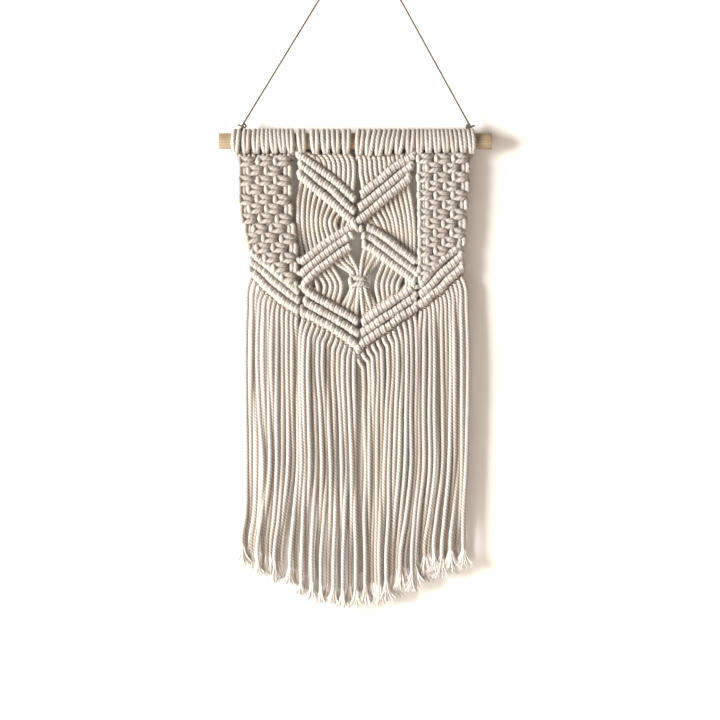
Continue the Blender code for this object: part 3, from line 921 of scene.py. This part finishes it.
@dataclass
class SidePanel:
    """A panel of alternating square knots, in rows of three and two."""

    side: Side
    top: tuple[float, float]  # plan places of its left and right edge, at the heading and at the foot
    foot: tuple[float, float]
    leans: tuple[float, float]  # plan heights between which its edges draw in
    first_row: float  # plan height of the first row's middle
    row_pitch: float
    arm: BarArm
    unevenness: float  # how far a knot strays from its place, in millimetres
    tones: tuple[float, float]  # how dull its dullest and freshest cords are
    cords: int = BAND
    heading_height: float = 153.8  # plan height at which its cords leave the heading
    half_height: float = 4.3
    knot_width: float = 16.8  # of a common knot
    most_turn: float = 0.13  # of a knot in its own plane, in radians for a millimetre of unevenness

    def column(self, order: float, y: float) -> float:
        """The plan place of a cord at a height of the plan. Half numbers lie between cords.

        Args:
            order: the cord, from the left.
            y: the height.

        Returns:
            The place across.
        """
        start, end = self.leans
        t = min(1.0, max(0.0, (y - start) / (end - start)))
        t = t * t * (3 - 2 * t)
        left, right = (mix(high, low, t) for high, low in zip(self.top, self.foot))
        return mix(left, right, (order + 0.5) / self.cords)

    def outward(self, order: int) -> int:
        """The number of a cord, or from the number its order, counted from the work's outer edge."""
        return order if self.side is Side.LEFT else self.cords - 1 - order

    def top_of(self, order: int) -> float:
        """The plan height at which a cord goes behind the border's first bar."""
        return on_plan(self.arm.bars[0].at(self.arm.share(self.outward(order))))[1]

    def tops(self) -> list[Spot]:
        """Where its cords leave the heading, left to right."""
        return [plan(self.column(order, self.first_row), self.heading_height, -3.0) for order in range(self.cords)]

    def knots(self, draw: random.Random, y: float, starts: tuple[int, ...], ends: list[float]) -> dict[int, Way]:
        """One row of square knots, as far as it lies above the border.

        Args:
            draw: the random draws of the piece.
            y: the row's height on the plan.
            starts: the first cord of each knot.
            ends: the plan height at which each cord ends.

        Returns:
            The ways of the knotted cords, by their order.
        """
        ways = {}
        reach = self.half_height / PLAN_UNIT
        for first in starts:
            if y + reach > min(ends[first], ends[first + 3]) + 3.0:
                continue
            across, down, turn = (draw.uniform(-self.unevenness, self.unevenness) for _ in range(3))
            middle = plan(self.column(first + 1.5, y) + across, y + down, draw.uniform(-0.2, 0.2))
            width = (self.column(first + 4, y) - self.column(first, y)) * PLAN_UNIT / self.knot_width
            knot = square_knot(middle, width, self.half_height, draw.uniform(-0.3, 0.3), turn * self.most_turn)
            ways |= {first + order: way for order, way in enumerate(knot)}
        return ways

    def beside(self, column: int, y: float) -> Way:
        """The way of a free cord past a row of knots.

        Args:
            column: the cord, from the left. An outermost one bows out, the next runs straight.
            y: the row's height on the plan.

        Returns:
            Its way.
        """
        edge = column in (0, self.cords - 1)
        spot = plan(self.column(column, y), y, 2.0 if edge else 0.8)
        ups = (3.4, 0.0, -3.4) if edge else (2.6, -2.6)
        return [shifted(spot, down=-up) for up in ups], [1.1] * len(ups)

    def make(self) -> bpy.types.Object:
        """Lays the panel's cords from the heading to the border.

        Returns:
            The piece.
        """
        label = self.side.name.lower()
        skein = Skein(f"square_knots_{label}", KNOTTED_LAY, COTTON, 20 + self.side.value, self.tones)
        ways: list[Way] = [([top], [1.0]) for top in self.tops()]
        ends = [self.top_of(order) for order in range(self.cords)]
        y, starts, others = self.first_row, (0, 4, 8), (2, 6)
        while y < max(ends) + 2:
            row = self.knots(skein.draw, y, starts, ends)
            for column in (0, 1, self.cords - 2, self.cords - 1):
                if column not in row and y <= ends[column] - 3:
                    row[column] = self.beside(column, y)
            for column, (spots, full) in row.items():
                ways[column][0].extend(spots)
                ways[column][1].extend(full)
            y, starts, others = y + self.row_pitch, others, starts
        for column, (spots, full) in enumerate(ways):
            foot = self.arm.above(self.outward(column))
            if spots[-1][1] < foot[1] - 1.0:
                spots.append(foot)
                full.append(1.0)
            skein.run(spots, full)
        piece = skein.make()
        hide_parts(f"side_panel_{label}")
        return piece


LEFT_PANEL = SidePanel(
    Side.LEFT, (237.9, 292.5), (247.3, 298.0), (198, 252), 161.3, 9.65, BORDER_LEFT, 0.8, (0.4, 0.85)
)
RIGHT_PANEL = SidePanel(
    Side.RIGHT, (417.0, 470.0), (418.0, 466.0), (175, 240), 158.8, 9.25, BORDER_RIGHT, 0.4, (0.2, 0.65)
)


# ---------------------------------------------------------------- centre


@dataclass
class CentrePanel:
    """The middle of the work: four arms of bars, the cords between them and the gathering knot."""

    left_field: tuple[float, ...] = (298.3, 302.8, 307.6, 312, 316.5, 320.5, 325, 330.3, 335, 341, 346.5, 352)
    right_field: tuple[float, ...] = (413.3, 409.5, 405, 400.5, 396.5, 392.5, 388, 383, 377.5, 372, 366, 361)
    left_diamond: tuple[float, ...] = (304, 306.5, 309, 318, 325, 331, 336, 341.5)
    right_diamond: tuple[float, ...] = (411.5, 409.5, 407, 398, 392.5, 387.5, 382.5, 376.5)
    inner_top: PlanPoint = (353.8, 361.0)  # where the innermost cords hang above the crossing
    inner_pitch: float = 4.8
    bulge_height: float = 159.5  # plan height at which they spread below the heading
    least_hang: float = 12.0  # millimetres of free cord that get places of their own: above the arms,
    least_field: float = 13.0  # between the upper and the lower arm
    least_diamond: float = 7.0  # and between the lower arm and the border
    gather: PlanPoint = (359.5, 281.5)
    gather_reach: float = 6.5
    crowd: float = 1.9  # how far apart the gathered cords lie
    knobs: tuple[tuple[float, float, float, float], ...] = (
        # plan place, half height and slant in millimetres, where the bars meet
        (361.0, 228.5, 1.6, 0.1), (364.0, 236.0, 1.9, -0.3), (364.5, 243.5, 1.9, 0.2),
        (351.5, 235.5, 1.9, 1.4), (346.5, 238.0, 1.6, 0.4), (355.5, 226.5, 3.4, 2.4), (417.0, 274.0, 1.2, 0.0),
    )  # fmt: skip

    def hang(self, start: Spot, end: Spot, order: int, side: Side) -> list[Spot]:
        """The way of a cord from the heading towards its upper arm, where that is far below.

        Args:
            start: where it leaves the heading.
            end: where the arm takes it.
            order: the cord, counted from the outer end.
            side: its half of the work.

        Returns:
            The places on its way.
        """
        if end[1] - start[1] <= self.least_hang:
            return []
        inner_x = self.inner_top[side is Side.RIGHT] + side.value * self.inner_pitch * (BAND - 1 - order)
        bulge = plan(mix(on_plan(start)[0], inner_x, 0.7), self.bulge_height, -0.6)
        return [bulge, plan(inner_x, mix(159, on_plan(end)[1], 0.5), 0.2)]

    def gathered(self, order: int, side: Side) -> Way:
        """The way of a cord through the gathering knot.

        Args:
            order: the cord, counted from the outer end.
            side: its half of the work.

        Returns:
            Its way.
        """
        across, down, _ = plan(*self.gather)
        crowd = side.value * (BAND - 0.5 - order) * self.crowd
        places = ((1.1, -self.gather_reach), (0.8, 0.0), (1.1, self.gather_reach))
        forward = 1.2 if order % 2 else -1.2
        return [(across + crowd * out, down + below, forward) for out, below in places], [0.9, 0.8, 0.9]

    def lay(self, skein: Skein, tops: list[Spot]) -> None:
        """Lays every cord of the centre, from the heading to the border.

        Args:
            skein: the piece that takes them.
            tops: where the cords leave the heading, left to right.
        """
        left, right = tops[:BAND], tops[BAND:][::-1]
        halves = (
            (UPPER_LEFT, LOWER_LEFT, BORDER_CENTRE_LEFT, left, self.left_field, self.left_diamond),
            (UPPER_RIGHT, LOWER_RIGHT, BORDER_CENTRE_RIGHT, right, self.right_field, self.right_diamond),
        )
        for upper, lower, border, starts, across, diamond in halves:
            upper.cores(skein, starts[0])
            lower.cores(skein)
            for order, start in enumerate(starts):
                spots, full = upper.through(order, skein.draw)
                way = [start, *self.hang(start, spots[0], order, upper.outer), upper.above(order)]
                fullness = [1.0] * len(way) + full
                way += spots
                spots, full = lower.through(order, skein.draw)
                if spots[0][1] - way[-1][1] > self.least_field:
                    x, _, forward = plan(across[order], 0, 0.4 * math.sin(order * 2.1))
                    way.append((x, (spots[0][1] + way[-1][1]) / 2, forward))
                    fullness.append(1.0)
                way += spots
                fullness += full
                foot = shifted(border.above(order), down=3.0, forward=-2.0)
                if order >= len(diamond):
                    spots, full = self.gathered(order, upper.outer)
                    way += spots
                    fullness += full
                elif foot[1] - way[-1][1] > self.least_diamond:
                    way.append((plan(diamond[order], 0)[0], (foot[1] + way[-1][1]) / 2, 0.3))
                    fullness.append(1.0)
                skein.run([*way, foot], [*fullness, 1.0])

    def crossing(self, skein: Skein) -> None:
        """Lays the hitches where the four arms meet.

        Args:
            skein: the piece that takes them.
        """
        half = ((-1.0, -1.0, -2.2, 1.0), (-0.9, -0.9, 1.4, 1.1), (-0.3, -0.35, 3.9, 1.15))
        arch = [*half, *((-out, -up, forward, full) for out, up, forward, full in half[::-1])]
        for x, y, tall, slant in self.knobs:
            middle = plan(x, y)
            spots = [shifted(middle, slant * out, tall * up, forward) for out, up, forward, _ in arch]
            skein.run(spots, [full for *_, full in arch])

    def make(self, tops: list[Spot]) -> bpy.types.Object:
        """Builds the centre.

        Args:
            tops: where its cords leave the heading.

        Returns:
            The piece.
        """
        skein = Skein("centre_cords", BRAIDED_LAY, COTTON, 2)
        self.lay(skein, tops)
        self.crossing(skein)
        knot = square_knot(plan(*self.gather, 1.6), 1.15, 5.0, 0.3)
        for spots, full in (knot[0], knot[3]):
            skein.run(spots, full)
        piece = skein.make()
        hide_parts("centre_panel")
        return piece


# ---------------------------------------------------------------- border and fringe


@dataclass
class Fringe:
    """The border of three bars, and the long loose cords below it with their frayed ends."""

    # fmt: off
    at_350: tuple[tuple[float, ...], tuple[float, ...]] = (  # where the cords in front lie, at three heights
        (246, 251.5, 257.5, 263, 268, 271.5, 277, 282.5, 287, 292, 300, 303.5, 308.5, 313, 318, 323, 328, 333, 338,
         343, 348, 354),
        (363.5, 369, 373, 377.5, 382, 388, 393, 397.5, 402, 407, 411.5, 417, 419, 424.5, 430.5, 434.5, 442, 446.5,
         451, 454.5, 462, 468),
    )
    at_470: tuple[tuple[float, ...], tuple[float, ...]] = (
        (247, 251, 256.5, 263, 270, 277, 282, 288, 292.5, 298, 301.5, 305, 310, 316, 322, 331, 335, 342, 346, 352, 355),
        (366, 369.5, 377, 384.5, 389, 394, 399, 405, 411, 415, 419, 424, 430, 435, 437, 442.5, 449, 454, 462, 466),
    )
    at_560: tuple[tuple[float, ...], tuple[float, ...]] = (
        (243, 258, 275, 290, 302, 311, 321, 333.5, 344, 355.5),
        (366, 379, 386, 399.5, 411, 416, 434, 441.5, 451, 463),
    )
    outline: tuple[PlanPoint, ...] = (
        (240, 568), (250, 574), (260, 578), (270, 583), (285, 585), (295, 595), (305, 600), (320, 605), (335, 608),
        (350, 611), (357, 611), (365, 608), (385, 603), (395, 594), (412, 592), (428, 578), (440, 576), (455, 573),
        (468, 566),
    )
    # fmt: on
    hidden: tuple[float, float] = (358.3, 361.6)  # plan places of two cords behind the gap below the border's point
    heights: tuple[float, ...] = (350.0, 412.0, 470.0, 518.0, 556.0)  # plan heights of the places on a cord's way
    brush: float = 19.0  # length of a frayed end
    brush_half_width: float = 7.5
    fibres: int = 44

    @staticmethod
    def filled(places: tuple[float, ...], count: int) -> list[tuple[float, bool]]:
        """The places of all cords among those in front, the rest behind in the widest gaps between them.

        Args:
            places: where the cords in front lie.
            count: how many cords there are in all.

        Returns:
            Each cord's place from the left, and whether it lies behind.
        """
        row = [(x, False) for x in places]
        while len(row) < count:
            widest = max(range(len(row) - 1), key=lambda i: row[i + 1][0] - row[i][0])
            row.insert(widest + 1, ((row[widest][0] + row[widest + 1][0]) / 2, True))
        return row

    def tip_height(self, x: float) -> float:
        """The plan height of the fringe's lower outline."""
        return float(np.interp(x, *zip(*self.outline)))

    def half(self, outer: BarArm, inner: BarArm, border: Skein, skein: Skein, brushes: Skein) -> None:
        """Lays one half of the border's cords and of the fringe.

        Args:
            outer: the border's outer arm on this side.
            inner: its inner arm.
            border: the piece that takes the bars.
            skein: the piece that takes the loose cords.
            brushes: the piece that takes the frayed ends.
        """
        outer.cores(border)
        inner.cores(border)
        for index in range(2 * BAND):
            arm, order = (outer, index) if index < BAND else (inner, index - BAND)
            spots, full = arm.through(order, border.draw)
            root = arm.below(order)
            border.run([arm.above(order), *spots, root], [1.0, *full, 1.0])
            self.strand(skein, brushes, root, outer.outer, index)

    def behind(self, skein: Skein, brushes: Skein, x: float) -> None:
        """Lays one cord that hangs behind the gap below the border's point.

        Args:
            skein: the piece that takes the cord.
            brushes: the piece that takes its frayed end.
            x: its place across the plan.
        """
        foot = self.tip_height(x) - 16.0 - self.brush / PLAN_UNIT
        heights = (330.0, 346.0, 380.0, 440.0, 500.0, foot)
        skein.run([plan(x + skein.draw.uniform(-0.6, 0.6), y, -3.4) for y in heights])
        self.fray(brushes, plan(x, foot - 1.0, -3.4), 0.0)

    def strand(self, skein: Skein, brushes: Skein, root: Spot, side: Side, index: int) -> None:
        """Lays one loose cord from the lowest bar to its frayed end.

        Args:
            skein: the piece that takes the cord.
            brushes: the piece that takes its frayed end.
            root: where it leaves the bar.
            side: its half of the work.
            index: its place in that half, from the outer edge.
        """
        # x1 to x3 are its places across the plan and f1 to f3 how far forward it hangs, from the top down
        draw = skein.draw
        left = side is Side.LEFT
        (x1, under1), (x2, under2), (x3, under3) = (
            self.filled(places[not left], 2 * BAND)[index if left else -1 - index]
            for places in (self.at_350, self.at_470, self.at_560)
        )
        x3 += draw.uniform(-1.0, 1.0)
        f1 = -2.4 if under1 else draw.uniform(-1.3, 1.5)
        f2 = draw.uniform(-2.8, -1.6) if under2 else draw.uniform(-1.0, 1.4)
        f3 = draw.uniform(-2.8, -0.8) if under3 else draw.uniform(1.0, 2.4)
        tip_y = self.tip_height(x3) + draw.uniform(-4.5, 1.5) - (2.0 if under3 else 0.0)
        root_x, root_y = on_plan(root)
        spots = [root]
        high, upper, middle, lower, low = self.heights
        first = max(high, root_y + 18)
        if first - root_y > 12:
            spots.append(plan(mix(root_x + side.value * 0.6, x1, 0.35), root_y + 5.5, 0.0))
            spots.append(plan(mix(root_x, x1, 0.8), mix(root_y, first, 0.45), f1 * 0.4))
        spots.append(plan(x1, first, f1))
        if first < upper - 12:
            spots.append(plan(mix(x1, x2, 0.5) + draw.uniform(-0.8, 0.8), upper, mix(f1, f2, 0.5)))
        spots.append(plan(x2, middle, f2))
        spots.append(plan(mix(x2, x3, 0.55) + draw.uniform(-1.2, 1.2), lower, mix(f2, f3, 0.6)))
        brush_y = tip_y - self.brush / PLAN_UNIT
        drift = draw.uniform(-1.5, 1.5)
        spots.append(plan(x3, min(low, brush_y - 8), f3))
        spots.append(plan(x3 + drift * 0.3, brush_y + 1.5, f3))
        skein.run(spots, [1.0] * (len(spots) - 1) + [0.92])
        self.fray(brushes, plan(x3 + drift * 0.25, brush_y - 1.0, f3), drift)

    def fray(self, brushes: Skein, root: Spot, drift: float) -> None:
        """Lays the loosened yarns of one cut end.

        Args:
            brushes: the piece that takes them.
            root: where the cord comes apart.
            drift: how far the brush leans sideways.
        """
        draw = brushes.draw
        spread = draw.uniform(0.6, 1.3) if root[0] < 15 else draw.uniform(0.9, 2.1)
        tone = draw.uniform(0.0, 0.4)
        for _ in range(self.fibres):
            angle, out = draw.uniform(0, math.tau), math.sqrt(draw.random())
            x, f = math.cos(angle) * out, math.sin(angle) * out
            reach = self.brush * draw.uniform(0.72, 1.12)
            curl = draw.uniform(-1.5, 1.5)
            spots = [
                shifted(root, x * 1.25, 0.0, f * 1.25),
                shifted(root, x * 1.9 * spread + drift * 0.2, reach * 0.35, f * 1.8),
                shifted(root, x * 3.6 * spread + drift * 0.6 + curl * 0.5, reach * 0.7, f * 1.8),
                shifted(root, x * self.brush_half_width * spread + drift + curl, reach, f * 2.0),
            ]
            brushes.run(spots, [1.0, 1.0, 1.0, 0.6], tone)

    def make(self) -> list[bpy.types.Object]:
        """Builds the border and the fringe.

        Returns:
            The pieces.
        """
        border = Skein("border_bars", BRAIDED_LAY, COTTON, 3)
        left, right = (Skein(f"fringe_{side}", COTTON_LAY, COTTON, seed) for side, seed in (("left", 4), ("right", 5)))
        brushes = Skein("frayed_ends", FIBRE_LAY, FRAYED, 6)
        self.half(BORDER_LEFT, BORDER_CENTRE_LEFT, border, left, brushes)
        self.half(BORDER_RIGHT, BORDER_CENTRE_RIGHT, border, right, brushes)
        for skein, x in zip((left, right), self.hidden):
            self.behind(skein, brushes, x)
        made = [skein.make() for skein in (border, left, right, brushes)]
        for piece in made:
            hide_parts("border_fringe")
        return made


# ---------------------------------------------------------------- hanger and dowel


@dataclass
class Hanger:
    """The hanging twine from its left knot over the hook to its right knot."""

    route: tuple[PlanPoint, ...] = (
        (-102.2, -16.6), (-80.0, -52.9), (-55.0, -93.8), (-30.0, -134.7), (-8.0, -170.7), (-0.2, -183.4),
        (2.6, -187.7), (4.1, -189.2), (6.0, -189.9), (7.9, -189.3), (9.5, -187.6), (12.0, -183.3),
        (20.0, -168.8), (42.0, -128.9), (64.0, -88.9), (86.0, -48.9), (104.1, -16.0),
    )  # fmt: skip
    thickness: float = 1.8
    curve_steps: int = 5  # points of the curve from one place to the next, both counted
    ring_radius: float = 9.9
    tone: float = 0.1

    def line(self) -> list[Vector]:
        """The twine's middle line.

        Returns:
            Its points in metres.
        """
        route = [Vector(placed((*spot, 0.0))) for spot in self.route]
        lengths = [(b - a).length for a, b in zip(route, route[1:])]
        slopes = [(b - a) / length for a, b, length in zip(route, route[1:], lengths)]
        pairs = zip(slopes, slopes[1:], lengths, lengths[1:])
        tangents = [slopes[0], *((s1 * l2 + s2 * l1) / (l1 + l2) for s1, s2, l1, l2 in pairs), slopes[-1]]
        line = [route[0]]
        for a, b, leave, arrive, length in zip(route, route[1:], tangents, tangents[1:], lengths):
            handles = (a + leave * length / 3, b - arrive * length / 3)
            line += interpolate_bezier(a, *handles, b, self.curve_steps)[1:]
        return line

    def make(self) -> list[bpy.types.Object]:
        """Returns:
            The pieces.
        """
        line = self.line()
        twine = Skein("hanging_twine", TWINE_LAY, TWINE, 7)
        twine.run([((p.x / MM) - DOWEL_ACROSS, -p.z / MM - DOWEL_DROP, -p.y / MM) for p in line], tone=self.tone)
        cord = twine.make()
        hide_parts("hanger_cord")
        knots = [
            self.hitch(Side.LEFT, -106.5, self.route[0], 8),
            self.hitch(Side.RIGHT, 104.1, self.route[-1], 9),
        ]
        return [cord, *knots]

    def hitch(self, end: Side, ring: float, at: PlanPoint, seed: int) -> bpy.types.Object:
        """The twine's turns round the dowel with its overhand knot and short tail.

        Args:
            end: which end it is.
            ring: where the turns lie along the dowel, across.
            at: where the hanging part meets the knot.
            seed: where the piece's random draws start.

        Returns:
            The piece.
        """
        label, side = end.name.lower(), end.value
        skein = Skein(f"hanger_knot_{label}", TWINE_LAY, TWINE, seed)
        r = self.ring_radius
        x, y = at[0] - side * 0.4, at[1] + 2.4
        spots: list[Spot] = [(at[0], at[1] - 0.4, 0.0), (at[0], at[1] + 1.0, 0.9)]
        for drift in (0.0, side * -1.3):
            spots.append((mix(x, ring, 0.6) + drift, -r - 1.2, 1.0))
            turns = (math.radians(40 + 34 * step) for step in range(9))
            spots += [(ring + drift, -r * math.cos(turn), r * math.sin(turn)) for turn in turns]
        spots.append((mix(x, ring, 0.5), -r - 1.6, -0.6))
        skein.run(spots, tone=self.tone)
        knot = (
            (-1.4, 2.6, -0.4), (-1.7, 0.6, 0.9), (0.0, -1.2, 1.5), (1.7, 0.0, 0.6), (0.6, 1.5, -1.2), (-1.7, 0.4, -0.8),
            (-0.8, -1.6, 0.4), (1.2, -1.0, 1.6), (1.5, 1.2, 1.2), (side * 1.8, 1.4, 1.8), (side * 4.2, -0.4, 1.4),
            (side * 6.0, -0.2, 1.0),
        )  # fmt: skip
        skein.run([shifted((x, y, 0.0), *way) for way in knot], [0.9] * (len(knot) - 1) + [0.7], self.tone)
        piece = skein.make()
        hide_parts(f"hanger_hitch_{label}")
        return piece


@dataclass
class Dowel:
    """The wooden dowel with its sawn ends."""

    length: float = 250.0
    rim: float = 0.5  # how far its sawn rims are broken
    sides: int = 72
    cuts: int = 60
    waves: tuple[tuple[float, float, float], ...] = ((0.006, 0.11, 0.0), (0.004, 0.31, 1.0))  # share, pace, phase

    def make(self) -> bpy.types.Object:
        """Builds the dowel, very slightly uneven as turned wood is.

        Returns:
            The piece.
        """
        bm = bmesh.new()
        bmesh.ops.create_cone(
            bm,
            cap_ends=True,
            segments=self.sides,
            radius1=DOWEL_RADIUS * MM,
            radius2=DOWEL_RADIUS * MM,
            depth=self.length * MM,
            matrix=Matrix.Rotation(math.pi / 2, 4, "Y"),
        )
        rims = [e for e in bm.edges if abs(e.verts[0].co.x - e.verts[1].co.x) < 1e-6]
        bmesh.ops.bevel(bm, geom=rims, offset=self.rim * MM, segments=2, affect="EDGES", profile=0.5, material=-1)
        long_edges = [e for e in bm.edges if abs(e.verts[0].co.x - e.verts[1].co.x) > 0.1]
        bmesh.ops.subdivide_edges(bm, edges=long_edges, cuts=self.cuts, use_grid_fill=True)
        for vert in bm.verts:
            x = vert.co.x / MM
            swell = 1.0
            for share, pace, phase in self.waves:
                swell += share * math.sin(x * pace + phase)
            vert.co.y *= swell
            vert.co.z *= swell
        bmesh.ops.translate(bm, verts=bm.verts, vec=Vector(placed((0, 0, 0))))
        bmesh.ops.recalc_face_normals(bm, faces=bm.faces)
        mesh = bpy.data.meshes.new("wooden_dowel")
        bm.to_mesh(mesh)
        bm.free()
        mesh.shade_smooth()
        mesh.set_sharp_from_angle(angle=math.radians(35))
        piece = dressed("wooden_dowel", mesh, WOOD.material())
        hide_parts("dowel")
        return piece


# ---------------------------------------------------------------- studio


@dataclass
class Studio:
    """The pale backdrop, the soft light and the camera."""

    width: float = 0.6598  # what the frame takes in at the work, in metres
    centre: tuple[float, float] = (-0.0016, -0.3895)
    lens: float = 85.0
    sensor: float = 36.0
    wall: float = 0.0122  # how far it stands behind the work
    wall_half: float = 2.2
    floor: float = 4.0
    paint: Colour = (0.955, 0.928, 0.892)
    middle: Vector = field(default_factory=lambda: Vector((0.0, 0.0, -0.39)))
    # name, place from the hook, width in metres, power in watts, colour
    lights: tuple[tuple[str, Triple, float, float, Colour], ...] = (
        ("key", (-2.3, -1.3, -0.19), 1.15, 163.0, (1.0, 1.0, 1.0)),
        ("fill", (0.4, -1.0, -0.75), 1.0, 1.2, (1.0, 0.86, 0.72)),
        ("rim_behind", (0.6, 1.5, 0.4), 1.2, 40.0, (1.0, 0.9, 0.8)),
    )
    air: Colour = (1.0, 0.81, 0.62)
    air_strength: float = 0.215

    def camera(self) -> None:
        """Sets up the camera, straight on."""
        data = bpy.data.cameras.new("camera")
        data.lens, data.sensor_width = self.lens, self.sensor
        camera = linked("camera", data)
        camera.location = (self.centre[0], -self.width * self.lens / self.sensor, self.centre[1])
        camera.rotation_euler = (math.pi / 2, 0, 0)
        bpy.context.scene.camera = camera

    def backdrop(self) -> None:
        """Builds the wall and floor, open to a camera behind it."""
        bm = bmesh.new()
        bmesh.ops.create_grid(bm, x_segments=1, y_segments=1, size=self.wall_half)
        bmesh.ops.rotate(bm, verts=bm.verts, cent=(0, 0, 0), matrix=Matrix.Rotation(math.pi / 2, 3, "X"))
        bmesh.ops.translate(bm, verts=bm.verts, vec=(0.0, self.wall, 1.0))
        foot = [e for e in bm.edges if all(v.co.z < -1.0 for v in e.verts)]
        made = bmesh.ops.extrude_edge_only(bm, edges=foot)["geom"]
        edge = [v for v in made if isinstance(v, bmesh.types.BMVert)]
        bmesh.ops.translate(bm, verts=edge, vec=(0, -self.floor, 0))
        mesh = bpy.data.meshes.new("backdrop")
        bm.to_mesh(mesh)
        bm.free()
        material, shader = matt("plain_wall", 1.0, 0.0)
        tree = material.node_tree
        feed(shader, {"Base Color": (*self.paint, 1.0)})
        side = add_node(tree, "NewGeometry").outputs["Backfacing"]
        clear = add_node(tree, "BsdfTransparent").outputs["BSDF"]
        both = add_node(tree, "MixShader", {0: side, 1: shader.outputs["BSDF"], 2: clear})
        feed(tree.nodes["Material Output"], {"Surface": both.outputs["Shader"]})
        mesh.materials.append(material)
        linked("backdrop", mesh)

    def make(self) -> None:
        """Builds the whole studio."""
        self.camera()
        self.backdrop()
        for name, at, size, power, colour in self.lights:
            data = bpy.data.lights.new(name, "AREA")
            data.shape, data.size, data.energy, data.color = "SQUARE", size, power, colour
            lamp = linked(name, data)
            lamp.location = at
            lamp.rotation_euler = (self.middle - Vector(at)).to_track_quat("-Z", "Y").to_euler()
        world = bpy.data.worlds.new("soft_room")
        bpy.context.scene.world = world
        world.use_nodes = True
        feed(world.node_tree.nodes["Background"], {"Color": (*self.air, 1.0), "Strength": self.air_strength})
        bpy.context.scene.view_settings.view_transform = "Standard"


def main() -> None:
    """Builds the wall hanging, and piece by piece."""
    logging.basicConfig(level=logging.INFO, format="%(name)s: %(message)s")
    Studio().make()
    Hanger().make()
    Dowel().make()
    heading = Heading()
    legs = heading.legs()
    feet: list[Spot] = [(across, heading.leg_reach, -1.2) for across in legs]
    for panel, first, end in ((LEFT_PANEL, 0, BAND), (RIGHT_PANEL, 3 * BAND, len(legs))):
        tops = panel.tops()
        for leg in range(first, end):
            column = round((leg - first) * (BAND - 1) / (end - first - 1))
            feet[leg] = shifted(tops[column], down=6.0)
        panel.make()
    heading.make(feet)
    CentrePanel().make([(across, 11.5, -3.0) for across in legs[BAND : 3 * BAND]])
    Fringe().make()


if __name__ == "__main__":
    main()
